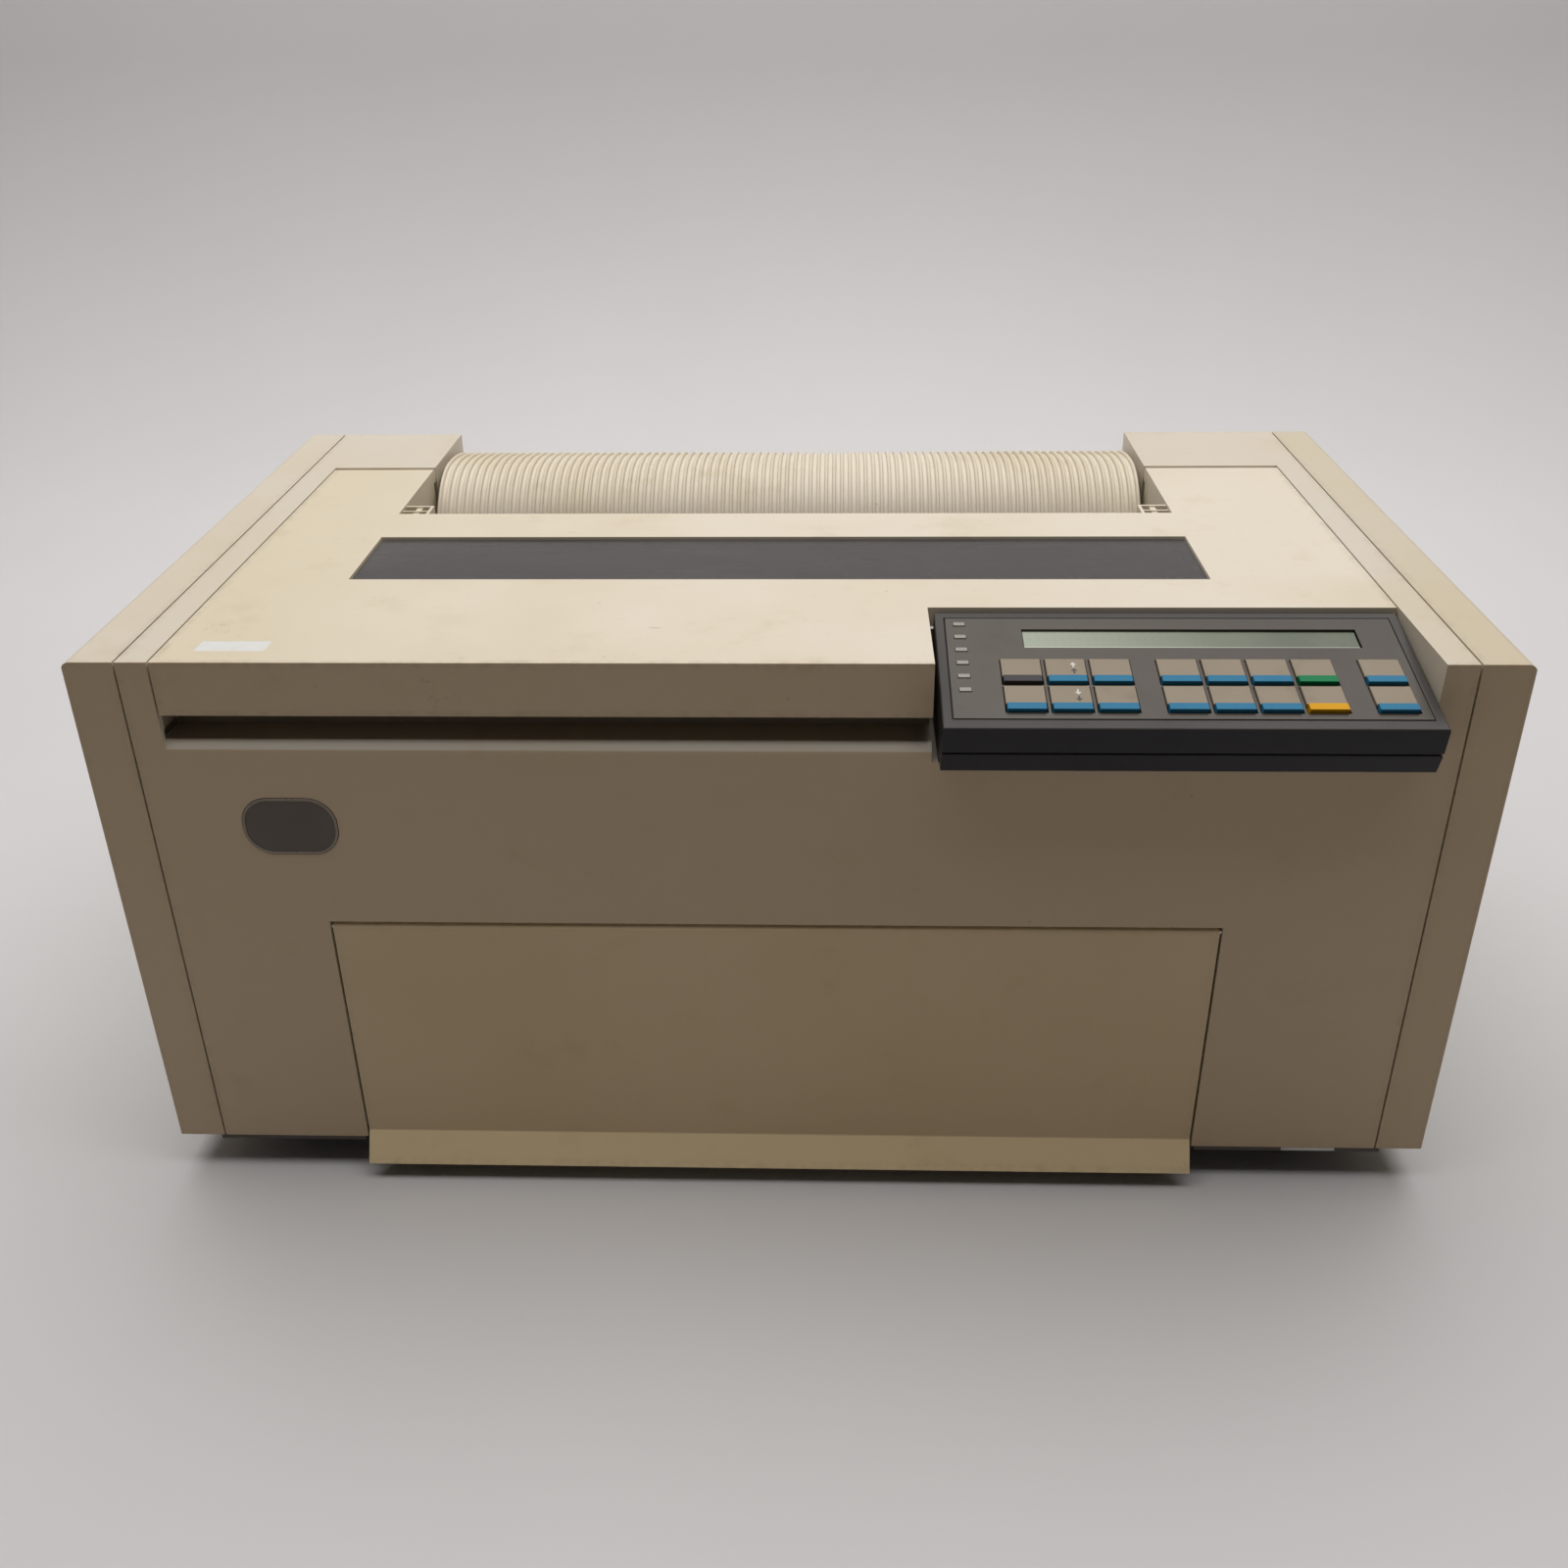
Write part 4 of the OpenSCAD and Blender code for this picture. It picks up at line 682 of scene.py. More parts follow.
# Painted highlight: the door's forward lip is made lighter, as if its upturned face caught the light.
LIP_PAINTED_HIGHLIGHT = Film(shade(228, 205, 162), 0.95, 1, -0.1646, -0.1649)
# Partly dust, partly painted sheen: the panel's top faces are lighter than its front.
PANEL_DUST_AND_PAINTED_SHEEN = Film(shade(66, 62, 59), 0.9, 2, 0.2917, 0.2922, tilt=12.5)
# The faceplate is lighter towards the left.
PLATE_LIGHTER_TO_LEFT = Film(shade(98, 92, 82), 0.3, 0, 0.21, 0.09)

CREAM_LEFT = MouldedPlastic(
    "left_cover_plastic", shade(214, 203, 185), 0.46, aged=shade(208, 190, 153), edges=LEFT_BOX, films=(FRONT_AGEING_AND_PAINTED_SHADE,)
)
CREAM_RIGHT = replace(
    CREAM_LEFT, name="right_cover_plastic", colour=shade(208, 197, 175), aged=shade(206, 187, 148), edges=RIGHT_BOX
)
CREAM = replace(
    CREAM_LEFT,
    name="cover_plastic",
    colour=shade(215, 205, 189),
    aged=shade(208, 189, 150),
    edges=COVER_BOX,
    dirty_shaded_hollow=SCOOP_BOX,
)
HOOD_CREAM = MouldedPlastic(
    "hood_plastic",
    shade(228, 217, 198),
    0.44,
    aged=shade(211, 192, 154),
    staining=0.35,
    specks=0.7,
    edges=HOOD_BOX,
    edge_grime=0.2,
    films=(HOOD_TAN, FRONT_AGEING_AND_PAINTED_SHADE),
    label=((-0.2552, -0.1524, 0.2775), (-0.2242, -0.1414, 0.2795)),
    scars=(
        ((-0.158, -0.166, 0.2545), (-0.138, -0.163, 0.2755)),
        ((-0.148, -0.163, 0.277), (-0.134, -0.156, 0.28)),
        ((-0.083, -0.163, 0.277), (-0.061, -0.152, 0.28)),
        ((-0.262, -0.135, 0.277), (-0.244, -0.12, 0.28)),
    ),
)
# Partly yellowed with age, partly painted shade: the forward-facing door is darker and warmer than the covers' tops.
DOOR_AGED_AND_SHADED_CREAM = MouldedPlastic(
    "door_plastic",
    shade(200, 177, 140),
    0.42,
    aged=shade(190, 165, 125),
    edges=DOOR_BOX,
    edge_grime=0.16,
    films=(LIP_PAINTED_HIGHLIGHT,),
)
GUIDE_CREAM = MouldedPlastic(
    "guide_plastic", shade(224, 214, 195), 0.5, aged=shade(208, 193, 163), ageing=0.7, staining=0.5, specks=0.8
)
PANEL_DARK = MouldedPlastic(
    "panel_plastic",
    shade(37, 35, 39),
    0.4,
    aged=shade(34, 32, 34),
    grime=shade(84, 80, 76),
    ageing=0.4,
    staining=0.3,
    specks=0.2,
    specular=0.22,
    films=(PANEL_DUST_AND_PAINTED_SHEEN,),
)
PANEL_BLACK = replace(
    PANEL_DARK,
    name="panel_base_plastic",
    colour=shade(35, 33, 36),
    roughness=0.46,
    aged=shade(32, 30, 31),
    grime=shade(88, 84, 80),
    specks=0.3,
    films=(),
)
PLATE_FILM = MouldedPlastic(
    "faceplate_film",
    shade(68, 60, 51),
    0.36,
    aged=shade(62, 54, 44),
    grime=shade(48, 42, 36),
    ageing=0.5,
    specks=0.3,
    grain=0.012 * MM,
    specular=0.3,
    films=(PLATE_LIGHTER_TO_LEFT,),
)
KEY_TILE = MouldedPlastic(
    "key_tile_plastic",
    shade(146, 132, 112),
    0.36,
    aged=shade(134, 119, 95),
    ageing=0.6,
    staining=0.4,
    specks=0.3,
    grain=0.012 * MM,
    specular=0.25,
)
DARK_PLASTIC = MouldedPlastic(
    "tractor_plastic", shade(58, 56, 58), 0.48, aged=shade(50, 47, 46), grime=shade(96, 90, 82), specks=0.4
)
BLACK_PLASTIC = MouldedPlastic(
    "carriage_plastic", shade(44, 43, 45), 0.45, aged=shade(38, 36, 36), grime=shade(84, 80, 74), specks=0.4
)
GEAR_PLASTIC = MouldedPlastic(
    "gear_plastic", shade(214, 208, 190), 0.4, aged=shade(196, 184, 150), grime=shade(90, 80, 62), specks=0.6
)
CONTROL_BLUE = MouldedPlastic(
    "control_plastic", shade(52, 116, 156), 0.4, aged=shade(46, 98, 130), grime=shade(40, 60, 70), specks=0.4
)
LENS = MouldedPlastic("lamp_lens", shade(150, 145, 136), 0.3, aged=shade(132, 126, 112), specks=0.2, grain=0.01 * MM)
INK_DARK = Coat("key_ink_dark", shade(44, 40, 38), bare=shade(90, 84, 76))
INK_LIGHT = Coat("key_ink_light", shade(214, 208, 198), bare=shade(170, 160, 144))
SMOKED = SmokedPane("smoked_window", shade(64, 60, 59), 0.2, haze=shade(102, 98, 94))
DISPLAY = CrystalDisplay("display_glass", shade(160, 168, 148), 0.3, far_painted_shade=shade(66, 78, 52), span=(0.075, 0.23))
BASE_PAINT = Coat("base_paint", shade(66, 58, 52), bare=shade(110, 100, 88))
MOTOR_PAINT = Coat("motor_case", shade(52, 52, 55), 0.42, bare=shade(130, 128, 124))
BADGE_METAL = Coat("badge_metal", shade(78, 70, 61), 0.36, bare=shade(104, 95, 84), metallic=0.35, peel=0.01 * MM)
# Painted highlight: the badge's rim is made lighter than its face.
BADGE_RIM_PAINTED_HIGHLIGHT = Coat("badge_rim_highlight", shade(118, 108, 95), 0.3, bare=shade(150, 140, 126), metallic=0.45, peel=0.01 * MM)
ZINC = Metal("frame_steel", shade(196, 194, 182), 0.38, dull=shade(150, 146, 130), brushed=(1.0, 0.12, 1.0))
REAR_SHEET = replace(
    ZINC,
    name="rear_sheet",
    sockets=(
        ((-0.1798, 0.165, 0.0419), (-0.1255, 0.19, 0.0561)),
        ((-0.1028, 0.165, 0.0419), (-0.0625, 0.19, 0.0561)),
        ((0.0137, 0.165, 0.0279), (0.042, 0.19, 0.0501)),
    ),
)
STEEL = Metal("hinge_steel", shade(190, 191, 194), 0.26, dull=shade(120, 118, 112), brushed=(0.08, 1.0, 1.0))
ALLOY = Metal("print_head_alloy", shade(74, 74, 77), 0.46, dull=shade(48, 47, 46), patches=0.5)
BRASS = Metal("pinion_brass", shade(196, 166, 96), 0.32, dull=shade(120, 98, 56))
SILVER_LABEL = Metal("label_foil", shade(188, 186, 182), 0.42, dull=shade(130, 126, 118), patches=0.5)
FOOT_RUBBER = Rubber("foot_rubber", shade(44, 43, 43), 0.8)
BELT_RUBBER = Rubber("belt_rubber", shade(34, 34, 34), 0.72)
PLATEN_RUBBER = Rubber("platen_rubber", shade(40, 40, 41), 0.55, pores=0.02 * MM)
BOARD_GREEN = CircuitBoard("circuit_board", shade(34, 92, 58), 0.34)
FLOOR_SHEET = PlainSheet("floor_sheet", shade(221, 219, 219), 0.6, cloud=shade(214, 212, 212))


class BarColour(Enum):
    """Finishes of the raised bars on the keys."""

    BLUE = MouldedPlastic(
        "blue_bar",
        shade(52, 124, 160),
        0.34,
        aged=shade(52, 116, 150),
        grime=shade(30, 50, 60),
        grain=0.01 * MM,
        specular=0.08,
    )
    DARK = replace(
        BLUE,
        name="dark_bar",
        colour=shade(74, 70, 72),
        roughness=0.32,
        aged=shade(64, 61, 62),
        grime=shade(40, 38, 38),
    )
    GREEN = replace(
        BLUE,
        name="green_bar",
        colour=shade(14, 127, 78),
        roughness=0.3,
        aged=shade(16, 112, 70),
        grime=shade(20, 50, 34),
    )
    YELLOW = replace(
        GREEN, name="yellow_bar", colour=shade(223, 163, 14), aged=shade(212, 148, 18), grime=shade(110, 74, 24)
    )


# ---- Workshop ----


def block(mesh: Mesh, low: Corner, high: Corner, number: int = 0) -> list[Point]:
    """Adds a box to a mesh.

    Args:
        mesh: The mesh.
        low: Its lowest corner.
        high: Its highest corner.
        number: Material number of its faces.

    Returns:
        Its corners.
    """
    size = Vector(high) - Vector(low)
    middle = (Vector(high) + Vector(low)) / 2
    made = bmesh.ops.create_cube(mesh, size=1.0, matrix=Matrix.Translation(middle) @ Matrix.Diagonal(size.to_4d()))
    for face in {face for corner in made["verts"] for face in corner.link_faces}:
        face.material_index = number
    return made["verts"]


def edges_of(mesh: Mesh, corners: Iterable[Point]) -> list[Edge]:
    """The edges between some corners."""
    chosen = set(corners)
    return [edge for edge in mesh.edges if chosen.issuperset(edge.verts)]


def bevel(mesh: Mesh, edges: list[Edge], width: float, segments: int = 2) -> None:
    """Rounds edges over a width, in metres."""
    bmesh.ops.bevel(
        mesh,
        geom=edges,
        offset=width,
        segments=segments,
        profile=0.5,
        affect="EDGES",
        clamp_overlap=True,
        material=-1,
    )


def soft_block(mesh: Mesh, low: Corner, high: Corner, width: float) -> None:
    """Adds a box between two corners, with its edges rounded over a width."""
    bevel(mesh, edges_of(mesh, block(mesh, low, high)), width)


def pulled(mesh: Mesh, geometry: list[object], way: Corner) -> list[object]:
    """Extrudes edges, or single points where there are no edges.

    Args:
        mesh: The mesh that holds them.
        geometry: The points and edges.
        way: The way that they go.

    Returns:
        The new points and edges.
    """
    edges = [part for part in geometry if isinstance(part, Edge)]
    if edges:
        made = bmesh.ops.extrude_edge_only(mesh, edges=edges)["geom"]
    else:
        made = bmesh.ops.extrude_vert_indiv(mesh, verts=geometry)["verts"]
    old = {corner for edge in edges for corner in edge.verts}
    points = [part for part in made if isinstance(part, Point) and part not in old]
    bmesh.ops.translate(mesh, verts=points, vec=way)
    ends = set(points)
    return points + [part for part in made if isinstance(part, Edge) and ends.issuperset(part.verts)]


def turned(mesh: Mesh, geometry: list[object], centre: Corner, angle: float, steps: int) -> list[object]:
    """Spins points and edges about a line along X.

    Args:
        mesh: The mesh that holds them.
        geometry: The points and edges.
        centre: A point on the line.
        angle: The turn, in degrees.
        steps: Steps in the turn.

    Returns:
        The last points and edges.
    """
    made = bmesh.ops.spin(
        mesh,
        geom=geometry,
        cent=centre,
        axis=(1.0, 0.0, 0.0),
        angle=math.radians(angle),
        steps=steps,
        use_duplicate=False,
    )
    return made["geom_last"]


def thickened(mesh: Mesh, faces: list[Face], way: Corner) -> None:
    """Extrudes faces into a solid."""
    grown = bmesh.ops.extrude_face_region(mesh, geom=faces)["geom"]
    bmesh.ops.translate(mesh, verts=[part for part in grown if isinstance(part, Point)], vec=way)


@dataclass(frozen=True)
class Rounded:
    """A copy of a node with rounded edges, which replaces the node.

    No planes, given as axis and place, mean edges anywhere.
    """

    node: str
    name: str
    finish: Finish
    width: float
    body: str = STILL_BODY
    slot: str = ""
    shortest: float = 1.2 * MM
    planes: Planes = ()


@dataclass
class Workshop:
    """Makes materials once and turns meshes into pieces that ride on the frame."""

    doubles: float = 0.002 * MM
    flat: float = 0.6
    round_from: float = 28.0
    on_plane: float = 0.02 * MM
    wide_face: float = 3 * MM
    wide_crease: float = 6.0
    crease_from: float = 52.0
    short_edge: float = 1 * MM
    carry_steps: int = 4
    made: dict[str, bpy.types.Material] = field(default_factory=dict)

    def material(self, finish: Finish) -> bpy.types.Material:
        """The finish's material, made once.

        Args:
            finish: The finish.

        Returns:
            Its material.
        """
        if finish.name not in self.made:
            self.made[finish.name] = finish.material()
        return self.made[finish.name]

    def dress(self, node: str, finish: Finish) -> None:
        """Gives a carried-over node its finish.

        Args:
            node: The node.
            finish: Its finish.
        """
        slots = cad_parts[node].data.materials
        slots.clear()
        slots.append(self.material(finish))
        LOG.info("dressed %s in %s", node, finish.name)

    def piece(
        self,
        name: str,
        mesh: Mesh,
        finishes: tuple[Finish, ...],
        body: str = STILL_BODY,
        slot: str = "",
        node: str = "",
    ) -> None:
        """Makes a piece and sets it on its body.

        Args:
            name: The piece's name.
            mesh: Its finished mesh, which is freed.
            finishes: Finishes in the order of the mesh's material numbers.
            body: The body that it rides on.
            slot: Not used.
            node: The node that it replaces, if any.
        """
        self.crease(mesh)
        data = bpy.data.meshes.new(name)
        mesh.to_mesh(data)
        mesh.free()
        for finish in finishes:
            data.materials.append(self.material(finish))
        thing = bpy.data.objects.new(name, data)
        bpy.context.scene.collection.objects.link(thing)
        weigh = thing.modifiers.new("even_shading", "WEIGHTED_NORMAL")
        weigh.keep_sharp = True
        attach(thing, body)
        if node:
            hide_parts(node)
        LOG.info("made %s with %d faces", name, len(data.polygons))

    def crease(self, mesh: Mesh) -> None:
        """Shades a mesh smoothly, apart from steep edges and edges between two wide faces.

        Args:
            mesh: The mesh.
        """
        wide = set()
        for face in mesh.faces:
            face.smooth = True
            if face.calc_area() / max(edge.calc_length() for edge in face.edges) > self.wide_face:
                wide.add(face)
        for edge in mesh.edges:
            if edge.is_manifold:
                limit = self.wide_crease if wide.issuperset(edge.link_faces) else self.crease_from
                edge.smooth = edge.calc_face_angle() < math.radians(limit)
        for edge in [edge for edge in mesh.edges if not edge.smooth]:
            for corner in edge.verts:
                self._carry_on(edge, corner)

    def _carry_on(self, edge: Edge, corner: Point) -> None:
        """Carries a crease on over the rounding at its end.

        Args:
            edge: The creased edge.
            corner: The end of it to go on from.
        """
        for _ in range(self.carry_steps):
            faces = set(edge.link_faces)
            ahead = [other for other in corner.link_edges if faces.isdisjoint(other.link_faces)]
            if len(ahead) != 1 or ahead[0].calc_length() > self.short_edge:
                return
            edge = ahead[0]
            edge.smooth = False
            corner = edge.other_vert(corner)

    def merged(self, node: str) -> Mesh:
        """Copies a node's mesh, with its doubles merged and its flat faces joined.

        Args:
            node: The node.

        Returns:
            The copy.
        """
        mesh = bmesh.new()
        mesh.from_mesh(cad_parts[node].data)
        bmesh.ops.remove_doubles(mesh, verts=mesh.verts, dist=self.doubles)
        bmesh.ops.dissolve_limit(
            mesh,
            angle_limit=math.radians(self.flat),
            use_dissolve_boundaries=False,
            verts=mesh.verts,
            edges=mesh.edges,
        )
        return mesh

    def round_edges(self, mesh: Mesh, width: float, shortest: float, planes: Planes = ()) -> None:
        """Rounds a mesh's sharp outer edges.

        Args:
            mesh: The mesh, which is changed.
            width: Width of the rounding, in metres.
            shortest: Length below which an edge stays sharp, in metres.
            planes: Planes, as axis and place, that an edge has to lie on; none means any edge.
        """

        def lies_on_one(edge: Edge) -> bool:
            """Whether the edge lies on one of the planes."""
            return any(
                all(abs(corner.co[axis] - place) < self.on_plane for corner in edge.verts) for axis, place in planes
            )

        sharp = [
            edge
            for edge in mesh.edges
            if edge.is_manifold
            and edge.is_convex
            and edge.calc_face_angle() > math.radians(self.round_from)
            and edge.calc_length() >= shortest
        ]
        bevel(mesh, [edge for edge in sharp if not planes or lies_on_one(edge)], width)

    def rounded(self, part: Rounded) -> None:
        """Makes a copy of a node with rounded edges.

        Args:
            part: What to make.
        """
        mesh = self.merged(part.node)
        self.round_edges(mesh, part.width, part.shortest, part.planes)
        self.piece(part.name, mesh, (part.finish,), part.body, part.slot, part.node)


# ---- Sub-assemblies ----


@dataclass
class Covers:
    """The fixed covers, base and rear fittings."""

    shop: Workshop
    front: float = -0.1645
    back: float = 0.1845
    bottom: float = 0.02
    top: float = 0.2785
    side: float = 0.28475
    rounding: float = 0.5 * MM
    badge_rounding: float = 0.25 * MM
    badge_shortest: float = 0.2 * MM
    badge_rim_highlight: float = 0.3 * MM
    label: Box = ((0.2405, -0.16265, 0.01635), (0.2665, -0.16235, 0.01815))
    label_rounding: float = 0.08 * MM

    def build(self) -> None:
        """Makes the covers with rounded edges, the badge with a painted highlight on its rim, and the small label."""
        planes: Planes = ((1, self.front), (2, self.top), (0, -self.side), (0, self.side), (1, self.back))
        main = Rounded("main_cover", "main_cover_shell", CREAM, self.rounding, shortest=2 * MM, planes=planes)
        self.shop.rounded(main)
        sides = replace(main, slot=CREAM.name, shortest=0.1 * MM, planes=planes + ((2, self.bottom),))
        for node, finish in (("left_side_cover", CREAM_LEFT), ("right_side_cover", CREAM_RIGHT)):
            self.shop.rounded(replace(sides, node=node, name=f"{node}_shell", finish=finish))
        plate = self.shop.merged("badge")
        self.shop.round_edges(plate, self.badge_rounding, self.badge_shortest)
        # Painted highlight: faces in front of this line take the lighter rim finish.
        rim = min(corner.co.y for corner in plate.verts) + self.badge_rim_highlight
        for face in plate.faces:
            face.material_index = int(face.calc_center_median().y < rim)
        self.shop.piece("badge_plate", plate, (BADGE_METAL, BADGE_RIM_PAINTED_HIGHLIGHT), node="badge")
        mesh = bmesh.new()
        soft_block(mesh, *self.label, self.label_rounding)
        self.shop.piece("base_label", mesh, (SILVER_LABEL,), slot=BADGE_METAL.name)

    def dress(self) -> None:
        """Gives the base and the rear fittings their finishes."""
        self.shop.dress("base_pan", BASE_PAINT)
        self.shop.dress("feet", FOOT_RUBBER)
        self.shop.dress("case_screws", STEEL)
        self.shop.dress("hinge_pins", STEEL)


@dataclass
class Hood:
    """The hinged hood with its smoked window."""

    shop: Workshop
    front: float = -0.1645
    top: float = 0.2785
    flange_bottom: float = 0.2537
    side: float = 0.2701
    rounding: float = 0.6 * MM
    pane_rounding: float = 0.35 * MM

    def build(self) -> None:
        """Makes the hood and the window with rounded edges."""
        planes: Planes = ((1, self.front), (2, self.top), (2, self.flange_bottom), (0, -self.side), (0, self.side))
        for part in (
            Rounded("hood", "hood_shell", HOOD_CREAM, self.rounding, planes=planes),
            Rounded("hood_window", "window_pane", SMOKED, self.pane_rounding),
        ):
            self.shop.rounded(replace(part, body="hood_assembly", shortest=2 * MM))


@dataclass
class FrontDoor:
    """The swing-out paper door."""

    shop: Workshop
    rounding: float = 0.5 * MM

    def build(self) -> None:
        """Makes the door with rounded edges."""
        door = Rounded("front_door", "front_door_panel", DOOR_AGED_AND_SHADED_CREAM, self.rounding, "front_door", shortest=8 * MM)
        self.shop.rounded(door)


@dataclass
class PaperGuide:
    """The ribbed sheet that leads the paper out over the back."""

    shop: Workshop
    left: float = -0.20925
    right: float = 0.19245
    crest: Span = (0.1295, 0.277)
    front_radius: float = 46 * MM
    crown_radius: float = 150 * MM
    corner_radius: float = 14 * MM
    crown_end: float = 74.0
    steps: tuple[int, int, int] = (14, 4, 8)
    base: float = 0.2205
    ribs: int = 89
    rib_height: float = 1.7 * MM
    rib_share: float = 0.46
    profile: tuple[Span, ...] = (
        (0.0, 0.0),
        (0.0, 0.42),
        (0.1, 0.74),
        (0.28, 0.95),
        (0.5, 1.0),
        (0.72, 0.95),
        (0.9, 0.74),
        (1.0, 0.42),
        (1.0, 0.0),
    )
    doubles: float = 0.001 * MM
    wall: float = 0.8 * MM
    cheek: float = 2 * MM
    tab: Corner = (4.4 * MM, 12 * MM, 4 * MM)
    tabs_x: Span = (-0.21265, 0.19145)
    tabs_y: Span = (0.1255, 0.1555)
    tabs_z: float = 0.2365

    @property
    def foot(self) -> float:
        """Place of the front's foot along Y, between the ribs."""
        return self.crest[0] - self.front_radius + self.rib_height

    def _sweep(self, mesh: Mesh, start: list[object]) -> None:
        """Leads points or edges up the front, over the crest and down the rear corner.

        Args:
            mesh: The mesh that holds them.
            start: The points and edges at the foot of the front.
        """
        y, z = self.crest
        front = Vector((0.0, y, z - self.front_radius))
        crown = Vector((0.0, y, z - self.crown_radius))
        lean = math.radians(self.crown_end)
        tail = crown + Vector((0.0, math.cos(lean), math.sin(lean))) * (self.crown_radius - self.corner_radius)
        current = pulled(mesh, start, (0.0, 0.0, front.z - self.base))
        turns = (90.0, 90.0 - self.crown_end, self.crown_end)
        for centre, turn, steps in zip((front, crown, tail), turns, self.steps):
            current = turned(mesh, current, centre, -turn, steps)
        pulled(mesh, current, (0.0, 0.0, self.base - tail.z))

    def _skin(self) -> Mesh:
        """Makes the ribbed skin, as one sheet with its thickness.

        Returns:
            Its mesh.
        """
        mesh = bmesh.new()
        pitch = (self.right - self.left) / (self.ribs - 1 + self.rib_share)
        width = pitch * self.rib_share
        corners = [
            mesh.verts.new((self.left + rib * pitch + x * width, self.foot - h * self.rib_height, self.base))
            for rib in range(self.ribs)
            for x, h in self.profile
        ]
        edges = [mesh.edges.new(pair) for pair in zip(corners, corners[1:])]
        self._sweep(mesh, corners + edges)
        bmesh.ops.remove_doubles(mesh, verts=mesh.verts, dist=self.doubles)
        bmesh.ops.recalc_face_normals(mesh, faces=mesh.faces)
        probe = max(mesh.faces, key=lambda face: face.calc_center_median().z)
        if probe.normal.z < 0:
            bmesh.ops.reverse_faces(mesh, faces=mesh.faces)
        bmesh.ops.solidify(mesh, geom=mesh.faces[:], thickness=self.wall)
        return mesh

    def _cheek(self, mesh: Mesh, x: float) -> None:
        """Adds an end wall that closes the guide at one side.

        Args:
            mesh: The mesh of the walls.
            x: Place of the wall's left side.
        """
        before = set(mesh.verts)
        self._sweep(mesh, [mesh.verts.new((x, self.foot, self.base))])
        outline = [corner for corner in mesh.verts if corner not in before]
        edges = edges_of(mesh, outline)
        edges.append(mesh.edges.new([corner for corner in outline if len(corner.link_edges) == 1]))
        thickened(mesh, bmesh.ops.contextual_create(mesh, geom=edges)["faces"], (self.cheek, 0.0, 0.0))

    def build(self) -> None:
        """Makes the guide's skin, its two cheeks and their tabs."""
        mesh = self._skin()
        walls = bmesh.new()
        for x in (self.left, self.right - self.cheek):
            self._cheek(walls, x)
        for x in self.tabs_x:
            for y in self.tabs_y:
                low = (x, y, self.tabs_z)
                block(walls, low, tuple(Vector(low) + Vector(self.tab)))
        bmesh.ops.recalc_face_normals(walls, faces=walls.faces)
        data = bpy.data.meshes.new("guide_walls")
        walls.to_mesh(data)
        walls.free()
        mesh.from_mesh(data)
        bpy.data.meshes.remove(data)
        self.shop.piece("ribbed_guide", mesh, (GUIDE_CREAM,), slot=HOOD_CREAM.name, node="rear_paper_guide")


class Mark(Enum):
    """Arrows that a key's tile may carry."""

    NONE = 0.0
    UP = 1.0
    DOWN = -1.0


@dataclass(frozen=True)
class Key:
    """One key's look."""

    name: str
    colour: BarColour = BarColour.BLUE
    mark: Mark = Mark.NONE

    @property
    def slot(self) -> str:
        """The record's slot of the key's plastic."""
        return "key_plastic" if self.colour is BarColour.BLUE else f"{self.colour.name.lower()}_key_plastic"


